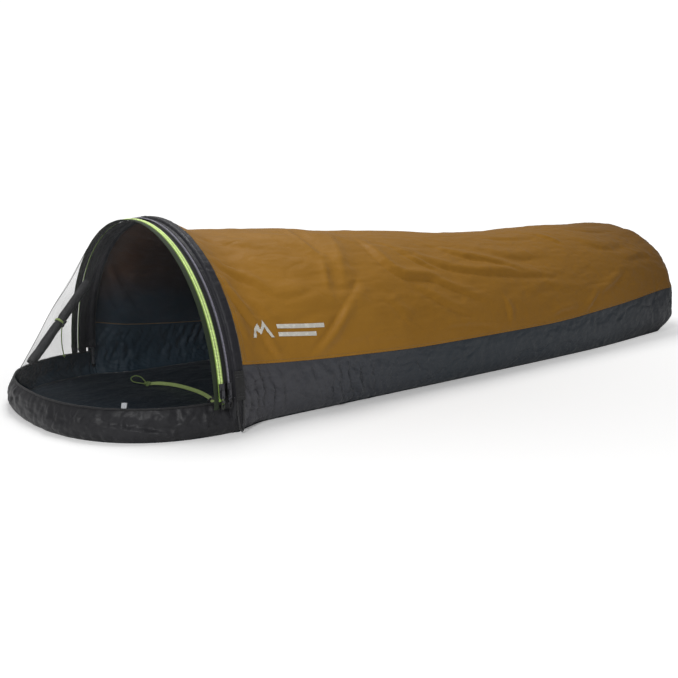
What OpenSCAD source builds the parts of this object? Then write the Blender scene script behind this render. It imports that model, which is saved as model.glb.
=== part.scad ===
// Single-hoop bivy sack: a waterproof tube with a low tub, a hoop at the head,
// a net end that unzips and folds forward, and a rolled storm door.
// +X runs from the head to the foot, +Z is up, the origin is on the ground under the middle.

/* [Bag] */
// Overall length on the ground
total_len = 2080; // [2000:10:2200]
// Length of the low head end in front of the hoop
head_len = 292; // [280:2:310]
// Thickness of the canopy and tub skins
skin_t = 2; // [1.5:0.5:3]
// Height of the head wall's rim
rim_z = 60; // [54:2:60]
// Rounding of the foot in plan and over the top
foot_round = 150; // [120:10:160]

/* [Hoop] */
// Radius of the hoop at the outside of its sleeve
hoop_r = 336; // [330:2:342]
// Height of the hoop's centre above the ground
hoop_z = 62; // [62:1:66]
// Diameter of the hoop pole
pole_d = 8; // [7:0.5:8]
// Bore of the hoop pole
pole_bore = 5.6; // [5:0.2:6]
// Width of the pole sleeve along the bag
sleeve_w = 26; // [24:1:26]

/* [Zips] */
// Width of each half of the net zip
zip_w = 5; // [4:0.5:5]
// Gap between the two halves of the net zip
zip_gap = 1.8; // [1.6:0.2:2.4]
// Thickness of a zip chain
zip_t = 2.6; // [2:0.2:2.8]
// Angle above the hoop's centre at which the zips end
zip_start = 1.2; // [1:0.2:2]
// Angle above the hoop's centre at which a closed slider stands
slider_start = 4.4; // [4:0.2:6]

/* [Hidden] */
$fn = 64;
hoop_x = head_len - total_len / 2;
loop_proud = 3;                                   // what the foot loop stands out past the foot
foot_s = total_len - head_len - loop_proud;       // foot end, from the hoop
round_s = foot_s - foot_round;                    // where the foot starts to round
floor_t = 2;
pole_r = hoop_r - 7;                              // radius of the hoop at the pole's middle
sleeve_front = -20;                               // the sleeve's front edge, from the hoop
body_front = sleeve_front + sleeve_w;             // where the canopy and the tub start
// The two halves of the net zip, and the tapes that carry them
hoop_chain_x = -39.5;
net_chain_x = hoop_chain_x - zip_gap - zip_w;
zip_in = pole_r;                                  // inner radius of the zips' chains
storm_chain_x = -26.5;
storm_w = 4.5;
storm_in = pole_r + 2;
net_edge_w = 10;
net_front_x = net_chain_x - net_edge_w;
zip_mid_x = hoop_chain_x - zip_gap / 2;

// Bag outlines. Each station: distance from the hoop, ridge height, largest half width, the height
// of that width, half width on the ground, height of the seam between the tub and the canopy.
STATIONS = [[0, 398, 336, 62, 322, 131], [25, 388, 329, 62, 306, 127], [85, 367, 312, 64, 287, 119],
            [260, 362, 308, 68, 285, 108], [560, 345, 306, 70, 283, 99], [960, 331, 302, 73, 279, 101],
            [1340, 336, 290, 82, 267, 121], [1610, 337, 276, 95, 253, 143], [1800, 335, 266, 95, 243, 150]];
// A ring of the bag: [where it stands from the hoop, how far round the foot it has turned]
RINGS = concat([for (s = [body_front, 25, 50, 85, 150, 260, 400, 560, 700, 830, 960, 1090, 1220, 1340,
                          1450, 1550]) [s, 0]],
               [for (turn = [0:15:90]) [round_s, turn]]);

function station(s, k) = lookup(s, [for (row = STATIONS) [row[0], row[k]]]);
function shrink(ring, t) = foot_round - (foot_round - t) * cos(ring[1]);
function ring_x(ring, t) = hoop_x + ring[0] + (foot_round - t) * sin(ring[1]);
function ridge(ring, t) = station(ring[0], 1) - shrink(ring, t);
function half(ring, t) = station(ring[0], 2) - shrink(ring, t);
function wide_z(ring) = station(ring[0], 3);
function ground(ring, t) = station(ring[0], 4) - shrink(ring, t);
function seam_z(ring) = station(ring[0], 5) + 6 * (1 - cos(ring[1]));
// Half width of a ring at height z: a quarter ellipse under the widest height and one over it
function wall_y(ring, z, t) = let (w = half(ring, t), g = ground(ring, t), m = wide_z(ring))
    z < m ? g + (w - g) * sqrt(1 - pow((m - z) / m, 2))
          : w * sqrt(1 - pow((z - m) / (ridge(ring, t) - m), 2));

// Head end: a superellipse in plan, fullest a little over the ground and drawn in at the rim
HEAD_POWER = 2.4;
HEAD_PROFILE = [[2, 7, 9], [20, 0, 2], [42, 4, 8], [rim_z, 15, 17]];   // height, inset along, inset across
head_half = 330;
function superellipse(a, b, t) =
    [-a * pow(abs(cos(t)), 2 / HEAD_POWER), b * sign(sin(t)) * pow(abs(sin(t)), 2 / HEAD_POWER)];
function head_point(z, t, inset) = let (
    a = head_len - lookup(z, [for (p = HEAD_PROFILE) [p[0], p[1]]]) - inset,
    b = head_half - lookup(z, [for (p = HEAD_PROFILE) [p[0], p[2]]]) - inset,
    p = superellipse(a, b, t)) [hoop_x + p[0], p[1], z];
HEAD_T = [for (k = [-20:20]) 86.3 * k / 20];      // turn round the head, from the near side to the far
NET_T = [for (k = [-16:16]) 80 * k / 16];

// Point of the hoop at a radius and an angle: 0 on the near side, 90 on top, 180 on the far side
function on_hoop(x, r, a) = [hoop_x + x, -r * cos(a), hoop_z + r * sin(a)];

function unit(v) = v / norm(v);

// A closed skin between an outer and an inner grid of points of the same size
module skin(outer, inner) {
    rows = len(outer);
    cols = len(outer[0]);
    function o(i, j) = i * cols + j;
    function n(i, j) = rows * cols + i * cols + j;
    sides = [for (i = [0:rows - 2], j = [0:cols - 2]) each [
        [o(i, j), o(i + 1, j), o(i + 1, j + 1)], [o(i, j), o(i + 1, j + 1), o(i, j + 1)],
        [n(i, j), n(i + 1, j + 1), n(i + 1, j)], [n(i, j), n(i, j + 1), n(i + 1, j + 1)]]];
    ends = [for (j = [0:cols - 2]) each [
        [o(0, j), o(0, j + 1), n(0, j + 1)], [o(0, j), n(0, j + 1), n(0, j)],
        [o(rows - 1, j), n(rows - 1, j), n(rows - 1, j + 1)],
        [o(rows - 1, j), n(rows - 1, j + 1), o(rows - 1, j + 1)]]];
    edges = [for (i = [0:rows - 2]) each [
        [o(i, 0), n(i, 0), n(i + 1, 0)], [o(i, 0), n(i + 1, 0), o(i + 1, 0)],
        [o(i, cols - 1), o(i + 1, cols - 1), n(i + 1, cols - 1)],
        [o(i, cols - 1), n(i + 1, cols - 1), n(i, cols - 1)]]];
    polyhedron([for (row = concat(outer, inner)) each row], concat(sides, ends, edges));
}

// A tube or flat strap swept along a path; wide is its half width across the path, thick along lie
module sweep(path, wide, thick, lie, sides = 8) {
    last = len(path) - 1;
    rings = [for (i = [0:last]) let (
        t = unit(path[min(i + 1, last)] - path[max(i - 1, 0)]),
        a = unit(cross(t, lie)),
        b = cross(a, t))
        [for (k = [0:sides - 1]) path[i] + wide * cos(360 * k / sides) * a
                                         + thick * sin(360 * k / sides) * b]];
    faces = [for (i = [0:last - 1], k = [0:sides - 1]) let (m = (k + 1) % sides) each [
        [i * sides + k, (i + 1) * sides + m, i * sides + m],
        [i * sides + k, (i + 1) * sides + k, (i + 1) * sides + m]]];
    polyhedron([for (r = rings) each r], concat(faces,
        [[for (k = [0:sides - 1]) k]], [[for (k = [sides - 1:-1:0]) last * sides + k]]));
}

// A profile (radius, distance along the bag from the hoop) turned about the hoop's own line,
// from one angle to another, measured as in on_hoop
module arch(from, to) {
    translate([hoop_x, 0, hoop_z]) rotate([0, 90, 0]) rotate([0, 0, 270 - to])
        rotate_extrude(angle = to - from, $fn = 128) children();
}
module band(r, x, thick, wide) { translate([r, x]) square([thick, wide]); }
module both_sides() {
    children();
    mirror([0, 1, 0]) children();
}

// ---- Tub, canopy and head end ----
module floor_panel() {
    near = [for (r = RINGS) [ring_x(r, 0), -wall_y(r, floor_t, 0)]];
    head = [for (t = HEAD_T) let (p = head_point(floor_t, t, 0)) [p.x, p.y]];
    far = [for (i = [len(near) - 1:-1:0]) [near[i].x, -near[i].y]];
    color([0.13, 0.15, 0.18]) linear_extrude(floor_t)
        polygon(concat(near, far, [for (i = [len(head) - 1:-1:0]) head[i]]));
}

module head_wall() {
    heights = [floor_t, 8, 20, 31, 42, 51, rim_z];
    color([0.20, 0.20, 0.21]) skin([for (z = heights) [for (t = HEAD_T) head_point(z, t, 0)]],
                                   [for (z = heights) [for (t = HEAD_T) head_point(z, t, skin_t)]]);
}

// One column of the tub wall, from the floor to the seam; side is -1 near and 1 far
function wall_column(ring, t, side) =
    [for (k = [0:7]) let (z = floor_t + (seam_z(ring) - floor_t) * pow(k / 7, 1.3))
        [ring_x(ring, t), side * wall_y(ring, z, t), z]];

module tub_wall() {
    function columns(t) = concat([for (r = RINGS) wall_column(r, t, -1)],
                                 [for (i = [len(RINGS) - 1:-1:0]) wall_column(RINGS[i], t, 1)]);
    color([0.17, 0.19, 0.22]) skin(columns(skin_t), columns(0));
}

// One rib of the canopy, over the ridge from seam to seam
function canopy_rib(ring, t) = let (m = wide_z(ring), up = ridge(ring, t) - m,
                                    low = asin((seam_z(ring) - m) / up))
    [for (k = [0:24]) let (a = low + (180 - 2 * low) * k / 24)
        [ring_x(ring, t), -half(ring, t) * cos(a), m + up * sin(a)]];

module canopy() {
    color([0.50, 0.34, 0.11]) skin([for (r = RINGS) canopy_rib(r, skin_t)],
                                   [for (r = RINGS) canopy_rib(r, 0)]);
}

// End panel that closes the canopy at the foot
module foot_panel() {
    last = RINGS[len(RINGS) - 1];
    rib = canopy_rib(last, skin_t + 0.4);
    color([0.45, 0.30, 0.10]) translate([ring_x(last, 0) - skin_t, 0, 0]) rotate([90, 0, 90])
        linear_extrude(skin_t) polygon([for (p = rib) [p.y, p.z]]);
}

module seam_piping() {
    near = [for (r = RINGS) [ring_x(r, 0) + 1.5 * sin(r[1]), -wall_y(r, seam_z(r), 0) - 1.6, seam_z(r)]];
    far = [for (i = [len(near) - 1:-1:0]) [near[i].x, -near[i].y, near[i].z]];
    color([0.62, 0.48, 0.25]) sweep(concat(near, far), 1.5, 1.5, [0, 0, 1], 6);
}

module rim_binding() {
    color([0.08, 0.08, 0.09]) sweep([for (t = HEAD_T) head_point(rim_z, t, 1) + [0, 0, 1.5]],
                                    2, 1.5, [0, 0, 1]);
}

// Small folded tab that stands on the rim at the head, in front of the net
module rim_tab() {
    p = head_point(rim_z, -48.8, 0);
    color([0.85, 0.86, 0.88]) translate(p + [0, 0, 2.9]) rotate([-31, 0, -43])
        translate([-5, -1.2, 0]) cube([10, 1.2, 11]);
}

// ---- Hoop pole, sleeve and corners ----
pole_low = asin((26 - hoop_z) / pole_r);          // where the pole's tube ends, above its tip
module pole_half(from, to) {
    arch(from, to) translate([pole_r, -4]) difference() {
        circle(d = pole_d);
        circle(d = pole_bore);
    }
}
module pole_near() { color([0.75, 0.76, 0.78]) pole_half(pole_low, 89.9); }
module pole_far() { color([0.75, 0.76, 0.78]) pole_half(90.1, 180 - pole_low); }
// Tube inside the joint of the two pole halves
module pole_ferrule() {
    color([0.6, 0.6, 0.62]) arch(85, 95) translate([pole_r, -4]) difference() {
        circle(d = pole_bore - 0.1);
        circle(d = pole_bore - 1.8);
    }
}
// Elastic cord that keeps the two pole halves together
module shock_cord() {
    color([0.1, 0.1, 0.1]) arch(pole_low + 0.4, 179.6 - pole_low) translate([pole_r, -4]) circle(d = 2.4);
}
// Plug and ball at the pole's end
module pole_tip() {
    translate(on_hoop(-4, pole_r, pole_low)) rotate([90 - pole_low, 0, 0]) rotate([90, 0, 0]) {
        translate([0, 0, 0.3]) cylinder(d = pole_d - 0.6, h = 3.7);
        translate([0, 0, 4]) sphere(d = pole_d - 0.6);
    }
}
module pole_tip_near() { color([0.1, 0.1, 0.1]) pole_tip(); }
module pole_tip_far() { color([0.1, 0.1, 0.1]) mirror([0, 1, 0]) pole_tip(); }

// Fabric tube round the pole with a flat hem to the front and to the back
module hoop_sleeve() {
    color([0.16, 0.15, 0.18]) arch(1.2, 178.8) difference() {
        union() {
            translate([pole_r, -4]) circle(d = 14);
            translate([pole_r - 1.5, sleeve_front]) square([3, sleeve_w]);
        }
        translate([pole_r, -4]) circle(d = pole_d + 0.4);
    }
}

// Corner of the tub that holds the pole's end
module pole_pocket() {
    ring = [0, 0];
    top = hoop_z + 1;
    outer = [for (k = [0:6]) let (z = floor_t + (top - floor_t) * k / 6) [wall_y(ring, min(z, hoop_z), 0), z]];
    inner = [for (k = [6:-1:0]) [outer[k].x - 15, outer[k].y]];
    translate([hoop_x + sleeve_front, 0, 0]) mirror([0, 1, 0]) rotate([90, 0, 90])
        linear_extrude(sleeve_w) polygon(concat(outer, inner));
}
module pocket_bore() {
    arch(pole_low - 2, 8) translate([pole_r, -4]) circle(d = pole_d + 0.8);
}
module pole_pocket_near() {
    color([0.19, 0.19, 0.20]) difference() {
        pole_pocket();
        pocket_bore();
    }
}
module pole_pocket_far() { mirror([0, 1, 0]) pole_pocket_near(); }

// Webbing patch over the corner, on the outside of the sleeve
module corner_tab() { arch(0.5, 10) band(hoop_r + 0.3, -13, 2, 20); }
module corner_tab_near() { color([0.05, 0.05, 0.05]) corner_tab(); }
module corner_tab_far() { color([0.05, 0.05, 0.05]) mirror([0, 1, 0]) corner_tab(); }

// Cord loop that hangs from the corner patch for a stake
STAKE_LOOP = [[-9, 64], [-8, 44], [-6, 26], [-4, 13], [-2.5, 7], [0, 4.5], [2.5, 7], [4, 13], [5, 26],
              [5.5, 44], [5, 64]];
module stake_loop() {
    sweep([for (p = STAKE_LOOP) [hoop_x + p[0] - 2, -hoop_r - 1.6, p[1]]], 1.4, 1.4, [0, 1, 0]);
}
module stake_loop_near() { color([0.05, 0.05, 0.05]) stake_loop(); }
module stake_loop_far() { color([0.05, 0.05, 0.05]) mirror([0, 1, 0]) stake_loop(); }
// Webbing loop against the foot
module stake_loop_foot() {
    color([0.05, 0.05, 0.05]) translate([hoop_x + foot_s + 0.2, 0, 0]) rotate([90, 0, 90])
        linear_extrude(2.6) difference() {
            translate([-14, 4]) square([28, 42]);
            translate([-8, 10]) square([16, 26]);
        }
}

// ---- Zips on the hoop ----
module storm_zip_chain() {
    color([0.55, 0.54, 0.60]) arch(zip_start, 180 - zip_start) band(storm_in, storm_chain_x, 2.4, storm_w);
}
// Flat tape from the sleeve to the net zip
module zip_facing_tape() {
    tape_x = hoop_chain_x + zip_w;
    color([0.06, 0.06, 0.07]) arch(zip_start, 180 - zip_start)
        band(pole_r - 3, tape_x, 1.4, sleeve_front - 0.3 - tape_x);
}
module net_zip_hoop_chain() {
    color([0.80, 0.95, 0.45]) arch(zip_start, 180 - zip_start) band(zip_in, hoop_chain_x, zip_t, zip_w);
}
// Stops at both ends of both zips
module zip_end_stops() {
    color([0.7, 0.7, 0.72]) both_sides() {
        arch(zip_start - 0.9, zip_start - 0.05) band(zip_in - 0.5, hoop_chain_x - 0.1, zip_t + 1, zip_w + 0.2);
        arch(zip_start - 0.9, zip_start - 0.05) band(storm_in - 0.4, storm_chain_x - 0.1, 3.2, storm_w + 0.2);
    }
}

// ---- Rolled storm door, inside the far side of the net ----
ROLL = [[-46, 236, 242], [-88, 223, 199], [-131, 209, 156], [-174, 193, 114], [-211, 175, 82]];
roll_d = 24;
function roll_point(i) = [hoop_x + ROLL[i][0], ROLL[i][1], ROLL[i][2]];
module storm_door_roll() {
    color([0.22, 0.22, 0.23]) sweep([for (i = [0:len(ROLL) - 1]) roll_point(i)],
                                    roll_d / 2, roll_d / 2, [0, 1, 0], 12);
}
band_at = 2;
band_turn = [0, 44, 18];                          // turns +Z onto the roll's own line
// Elastic band, toggle and cord that hold the roll
module on_roll() {
    translate(roll_point(band_at)) rotate(band_turn) children();
}
module door_band() {
    color([0.55, 0.72, 0.25]) on_roll() rotate_extrude() translate([roll_d / 2 + 1.6, -2.5]) square([1.2, 5]);
}
module door_toggle() {
    color([0.10, 0.10, 0.11]) on_roll() translate([0, -roll_d / 2 - 6.2, -9]) cylinder(d = 6, h = 18);
}
TAIL = [[-131.5, 189.5, 148.5], [-133, 189, 138], [-134, 189, 126], [-134, 189, 114], [-133, 190, 102],
        [-131, 190, 90], [-129, 190, 80]];
module door_toggle_cord() {
    color([0.55, 0.72, 0.25]) sweep([for (p = TAIL) [hoop_x + p[0], p[1], p[2]]], 1.2, 1.2, [0, 1, 0]);
}

// ---- Net end ----
net_t = 1.4;
module net_panel() {
    function net_row(v, inset) = [for (t = NET_T) let (
        low = head_point(rim_z, t, 4 + inset) + [0, 0, 4],
        high = on_hoop(net_front_x - 0.6, pole_r - inset, 90 + t / 80 * 85))
        low + (high - low) * v];
    steps = [0, 0.25, 0.5, 0.75, 1];
    color([0.15, 0.15, 0.16, 0.5]) skin([for (v = steps) net_row(v, 0)], [for (v = steps) net_row(v, net_t)]);
}

// Webbing strap that lies on the floor, tied to the near corner
STRAP = [[-40, -298, 58], [-36, -292, 38], [-28, -280, 16], [-14, -262, 5.4], [8, -232, 4], [34, -190, 4],
         [58, -142, 4], [78, -90, 4], [88, -34, 4], [88, 20, 4], [80, 70, 4], [62, 106, 4], [42, 120, 4]];
module tie_strap() {
    color([0.62, 0.80, 0.30]) sweep([for (p = STRAP) [hoop_x + p[0], p[1], p[2]]], 4.5, 0.8, [0, 0, 1]);
}
module tie_strap_bead() {
    color([0.10, 0.10, 0.11]) translate([hoop_x + 38.3, 122.6, 6.2]) sphere(d = 8);
}

// ---- Door side of the net zip ----
door_low = 2.2;                                   // the door's zip starts a little above the stops
module net_zip_door_chain() {
    color([0.80, 0.95, 0.45]) arch(door_low, 180 - door_low) band(zip_in, net_chain_x, zip_t, zip_w);
}
module net_edge_tape() {
    color([0.25, 0.36, 0.14]) arch(door_low, 180 - door_low) band(zip_in - 0.2, net_front_x, 1.2, net_edge_w);
}

// ---- Sliders and pulls ----
slider_len = 4.6;                                 // degrees of the hoop that a slider covers
net_plate_w = 2 * zip_w + zip_gap - 0.8;
module slider_body(x, inner, gap, wide, web_x, web) {
    from = slider_start - slider_len / 2;
    arch(from, from + slider_len) {
        band(inner - 1.4 - 0.7, x, 1.4, wide);
        band(inner + gap + 0.7, x, 1.4, wide);
        band(inner - 1.4, web_x, gap + 2.8, web);
    }
    arch(slider_start - 1.2, slider_start + 1.2) band(inner + gap + 1.9, x + wide / 2 - 1, 0.9, 2);
}
module net_slider() {
    color([0.15, 0.15, 0.16]) slider_body(zip_mid_x - net_plate_w / 2, zip_in, zip_t, net_plate_w,
                                          zip_mid_x - 0.4, 0.8);
}
storm_plate_x = storm_chain_x - 3;
module storm_slider() {
    color([0.15, 0.15, 0.16]) slider_body(storm_plate_x, storm_in, 2.4, 8.6, storm_plate_x, 2);
}
// A pull hangs from its slider: a stamped tab, and a cord loop under the tab
module pull_tab(x, r, wide) {
    p = on_hoop(x, r, slider_start);
    translate([p.x - wide / 2, p.y - 0.6, p.z - 15]) difference() {
        cube([wide, 1.2, 16]);
        translate([wide / 2, -1, 3.6]) rotate([-90, 0, 0]) cylinder(r = 1.4, h = 4);
    }
}
module pull_cord(x, r) {
    p = on_hoop(x, r, slider_start);
    sweep([for (q = [[1, 0, -15.5], [2.4, 0, -19], [3, 0, -25], [2.4, 0, -31], [0, 0, -35],
                     [-2.4, 0, -31], [-3, 0, -25], [-2.4, 0, -19], [-1, 0, -15.5]]) p + q],
          0.8, 0.55, [0, 1, 0], 6);
}
net_pull_r = hoop_r + 0.2;
storm_pull_r = hoop_r + 1.7;
storm_mid_x = storm_plate_x + 4.3;
module net_pull_tab() { color([0.12, 0.12, 0.12]) pull_tab(zip_mid_x, net_pull_r, 6); }
module net_pull_cord() { color([0.70, 0.88, 0.35]) pull_cord(zip_mid_x, net_pull_r); }
module storm_pull_tab() { color([0.12, 0.12, 0.12]) pull_tab(storm_mid_x, storm_pull_r, 5); }
module storm_pull_cord() { color([0.08, 0.08, 0.08]) pull_cord(storm_mid_x, storm_pull_r); }

floor_panel();
head_wall();
tub_wall();
canopy();
foot_panel();
seam_piping();
rim_binding();
hoop_sleeve();
pole_near();
pole_far();
pole_ferrule();
shock_cord();
pole_tip_near();
pole_tip_far();
pole_pocket_near();
pole_pocket_far();
corner_tab_near();
corner_tab_far();
stake_loop_near();
stake_loop_far();
stake_loop_foot();
storm_zip_chain();
zip_facing_tape();
net_zip_hoop_chain();
zip_end_stops();
storm_door_roll();
door_band();
door_toggle();
door_toggle_cord();
net_panel();
tie_strap();
tie_strap_bead();
rim_tab();
net_zip_door_chain();
net_edge_tape();
net_slider();
net_pull_tab();
net_pull_cord();
storm_slider();
storm_pull_tab();
storm_pull_cord();
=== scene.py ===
"""Single-hoop bivy sack: the visual model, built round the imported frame.

All sizes are in metres. +X runs from the head to the foot, and the origin is on the ground under
the middle. Fabric is built as curved sheets over the same outlines as the CAD solids, and then
folded, gathered and crinkled by functions.
"""
import math

import bpy
import numpy as np
from mathutils import Matrix, Vector, noise
from mathutils.bvhtree import BVHTree


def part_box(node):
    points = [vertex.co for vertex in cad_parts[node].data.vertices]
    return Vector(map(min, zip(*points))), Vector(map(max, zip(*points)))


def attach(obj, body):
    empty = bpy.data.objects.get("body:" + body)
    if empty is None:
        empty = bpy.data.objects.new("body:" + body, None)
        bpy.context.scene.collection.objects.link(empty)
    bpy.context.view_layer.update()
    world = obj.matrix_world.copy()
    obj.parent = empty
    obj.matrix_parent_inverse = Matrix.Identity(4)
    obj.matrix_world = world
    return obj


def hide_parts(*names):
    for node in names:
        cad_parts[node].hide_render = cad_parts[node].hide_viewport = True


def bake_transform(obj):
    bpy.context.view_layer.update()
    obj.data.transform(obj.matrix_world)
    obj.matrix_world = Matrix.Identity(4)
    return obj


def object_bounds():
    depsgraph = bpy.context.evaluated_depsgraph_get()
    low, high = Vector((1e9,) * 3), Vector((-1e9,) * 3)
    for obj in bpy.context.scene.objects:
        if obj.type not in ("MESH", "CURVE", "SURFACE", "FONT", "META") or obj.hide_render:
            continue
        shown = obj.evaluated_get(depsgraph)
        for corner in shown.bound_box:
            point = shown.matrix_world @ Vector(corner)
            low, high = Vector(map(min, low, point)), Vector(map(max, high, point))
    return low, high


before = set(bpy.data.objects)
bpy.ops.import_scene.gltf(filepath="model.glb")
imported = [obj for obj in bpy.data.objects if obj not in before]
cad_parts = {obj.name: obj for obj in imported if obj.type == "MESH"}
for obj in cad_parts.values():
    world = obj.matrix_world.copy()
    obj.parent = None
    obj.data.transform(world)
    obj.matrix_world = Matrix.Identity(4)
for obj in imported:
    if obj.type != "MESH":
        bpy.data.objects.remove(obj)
CAD_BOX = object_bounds()

# ---------------------------------------------------------------- dimensions
MM = 0.001
SLEEVE_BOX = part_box("hoop_sleeve")
HOOP_X = SLEEVE_BOX[1].x - 6 * MM            # the hoop's plane
HOOP_R = 0.336                               # outside of the sleeve
HOOP_Z = SLEEVE_BOX[1].z - HOOP_R            # the hoop's centre
POLE_R = HOOP_R - 7 * MM
HEAD_LEN = HOOP_X - CAD_BOX[0].x
FLOOR_T = 2 * MM
RIM_Z = 60 * MM
BODY_FRONT = 6 * MM                          # canopy and tub start this far behind the hoop
FOOT_ROUND = 0.150
FOOT_S = CAD_BOX[1].x - 3 * MM - HOOP_X
ROUND_S = FOOT_S - FOOT_ROUND
BODY_END = ROUND_S + FOOT_ROUND * math.pi / 2
FOOT_SEAM = ROUND_S + FOOT_ROUND * math.radians(34)   # where the foot panel is sewn on

# Distance from the hoop; ridge height, largest half width, its height, half width on the ground
# and height of the seam
STATIONS = np.array([
    [0, 398, 336, 62, 322, 131], [25, 388, 329, 62, 306, 127], [85, 367, 312, 64, 287, 119],
    [260, 362, 308, 68, 285, 108], [560, 345, 306, 70, 283, 99], [960, 331, 302, 73, 279, 101],
    [1340, 336, 290, 82, 267, 121], [1610, 337, 276, 95, 253, 143], [1800, 335, 266, 95, 243, 150],
]) * MM

# Angles up the hoop where the zips start, and the door's half of the net zip
ZIP_START = 1.2
DOOR_LOW = 2.2


def on_hoop(x, r, a):
    """A point at x in front of or behind the hoop, a radius, and an angle: 0 near, 90 top, 180 far."""
    a = math.radians(a)
    return Vector((HOOP_X + x, -r * math.cos(a), HOOP_Z + r * math.sin(a)))


# ---------------------------------------------------------------- mesh helpers
def run_of(points):
    """Distance of each point of a line from its start."""
    return np.concatenate([[0], np.cumsum(np.linalg.norm(np.diff(points, axis=0), axis=1))])


def mesh_object(name, points, faces, materials, uvs=None):
    mesh = bpy.data.meshes.new(name)
    mesh.from_pydata([tuple(map(float, p)) for p in points], [], faces)
    for m in materials if isinstance(materials, (list, tuple)) else [materials]:
        mesh.materials.append(m)
    if uvs is not None:
        layer = mesh.uv_layers.new(name="UVMap")
        corner = np.zeros(len(mesh.loops), np.int32)
        mesh.loops.foreach_get("vertex_index", corner)
        layer.data.foreach_set("uv", np.asarray(uvs, np.float32)[corner].ravel())
    mesh.polygons.foreach_set("use_smooth", [True] * len(mesh.polygons))
    mesh.update()
    obj = bpy.data.objects.new(name, mesh)
    bpy.context.collection.objects.link(obj)
    return obj


def grid_faces(rows, cols, around=False, flip=False):
    faces = []
    for i in range(rows - 1):
        for j in range(cols if around else cols - 1):
            k = (j + 1) % cols
            quad = (i * cols + j, (i + 1) * cols + j, (i + 1) * cols + k, i * cols + k)
            faces.append(quad[::-1] if flip else quad)
    return faces


def grid_lengths(points):
    """Distances along the rows and along the columns of a grid, used as UVs in metres."""
    down = np.zeros(points.shape[:2])
    across = np.zeros(points.shape[:2])
    down[1:] = np.cumsum(np.linalg.norm(np.diff(points, axis=0), axis=2), axis=0)
    across[:, 1:] = np.cumsum(np.linalg.norm(np.diff(points, axis=1), axis=2), axis=1)
    return np.stack([down, across], 2)


def grid_object(name, points, materials, flip=False, uvs=None):
    rows, cols = points.shape[:2]
    uvs = grid_lengths(points) if uvs is None else uvs
    faces = grid_faces(rows, cols, flip=flip)
    return mesh_object(name, points.reshape(-1, 3), faces, materials, uvs.reshape(-1, 2))


def grid_normals(points):
    """Unit normals of a grid, from its own differences."""
    n = np.cross(np.gradient(points, axis=0), np.gradient(points, axis=1))
    return n / np.maximum(np.linalg.norm(n, axis=2, keepdims=True), 1e-9)


def thicken(obj, thickness, offset=-1.0, lining=None):
    """Solid fabric; lining is the index of the material on its inside."""
    mod = obj.modifiers.new("thickness", "SOLIDIFY")
    mod.thickness = thickness
    mod.offset = offset
    mod.use_even_offset = False
    if lining:
        mod.material_offset = lining
    return obj


def subdivide(obj):
    mod = obj.modifiers.new("smooth", "SUBSURF")
    mod.levels = mod.render_levels = 1
    return obj


def curve_points(points, count):
    """A smooth curve (Catmull-Rom) through points, resampled at equal distances."""
    p = np.array(points, float)
    p = np.vstack([2 * p[0] - p[1], p, 2 * p[-1] - p[-2]])
    fine = []
    for i in range(1, len(p) - 2):
        for t in np.linspace(0, 1, 24, endpoint=False):
            a, b, c, d = p[i - 1:i + 3]
            fine.append(0.5 * (2 * b + (c - a) * t + (2 * a - 5 * b + 4 * c - d) * t ** 2
                               + (3 * b - 3 * c + d - a) * t ** 3))
    fine.append(p[-2])
    fine = np.array(fine)
    run = run_of(fine)
    at = np.linspace(0, run[-1], count)
    return np.stack([np.interp(at, run, fine[:, k]) for k in range(3)], 1)


def path_frames(path, up):
    """Tangent, side and lift directions along a path; up is the direction kept towards the lift."""
    tangent = np.gradient(path, axis=0)
    tangent /= np.linalg.norm(tangent, axis=1, keepdims=True)
    up = np.broadcast_to(np.asarray(up, float), path.shape)
    side = np.cross(tangent, up)
    side /= np.maximum(np.linalg.norm(side, axis=1, keepdims=True), 1e-9)
    return tangent, side, np.cross(side, tangent)


def sweep(name, path, wide, thick, material, up=(0, 0, 1), sides=10, power=2.0, closed=False):
    """A tube or flat strap along a path. wide and thick are half sizes, numbers or one per point;
    a power over 2 squares its section off."""
    path = np.asarray(path, float)
    tangent, side, lift = path_frames(path, up)
    if closed:
        step = np.roll(path, -1, 0) - np.roll(path, 1, 0)
        tangent = step / np.linalg.norm(step, axis=1, keepdims=True)
        side = np.cross(tangent, np.broadcast_to(np.asarray(up, float), path.shape))
        side /= np.linalg.norm(side, axis=1, keepdims=True)
        lift = np.cross(side, tangent)
    turn = np.linspace(0, 2 * math.pi, sides, endpoint=False)
    c, s = np.cos(turn), np.sin(turn)
    c, s = np.sign(c) * abs(c) ** (2 / power), np.sign(s) * abs(s) ** (2 / power)
    wide = np.broadcast_to(np.asarray(wide, float).reshape(-1, 1, 1), (len(path), 1, 1))
    thick = np.broadcast_to(np.asarray(thick, float).reshape(-1, 1, 1), (len(path), 1, 1))
    rings = (path[:, None] + wide * c[None, :, None] * side[:, None]
             + thick * s[None, :, None] * lift[:, None])
    run = run_of(path)
    uvs = np.stack(np.broadcast_arrays(run[:, None], turn[None] * float(wide.mean())), 2)
    n = len(path)
    faces = grid_faces(n, sides, around=True)
    if closed:
        faces += [((n - 1) * sides + j, j, (j + 1) % sides, (n - 1) * sides + (j + 1) % sides)
                  for j in range(sides)]
    else:
        faces += [tuple(range(sides)), tuple(range(n * sides - 1, (n - 1) * sides - 1, -1))]
    return mesh_object(name, rings.reshape(-1, 3), faces, material, uvs.reshape(-1, 2))


def copies(name, shape, places, material):
    """One mesh of many copies of a small shape (points, faces), one for each 4x4 matrix."""
    points, faces = shape
    base = np.column_stack([points, np.ones(len(points))])
    all_points = np.vstack([(base @ np.array(m).T)[:, :3] for m in places])
    all_faces = [tuple(i + k * len(points) for i in f) for k in range(len(places)) for f in faces]
    return mesh_object(name, all_points, all_faces, material)


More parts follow.
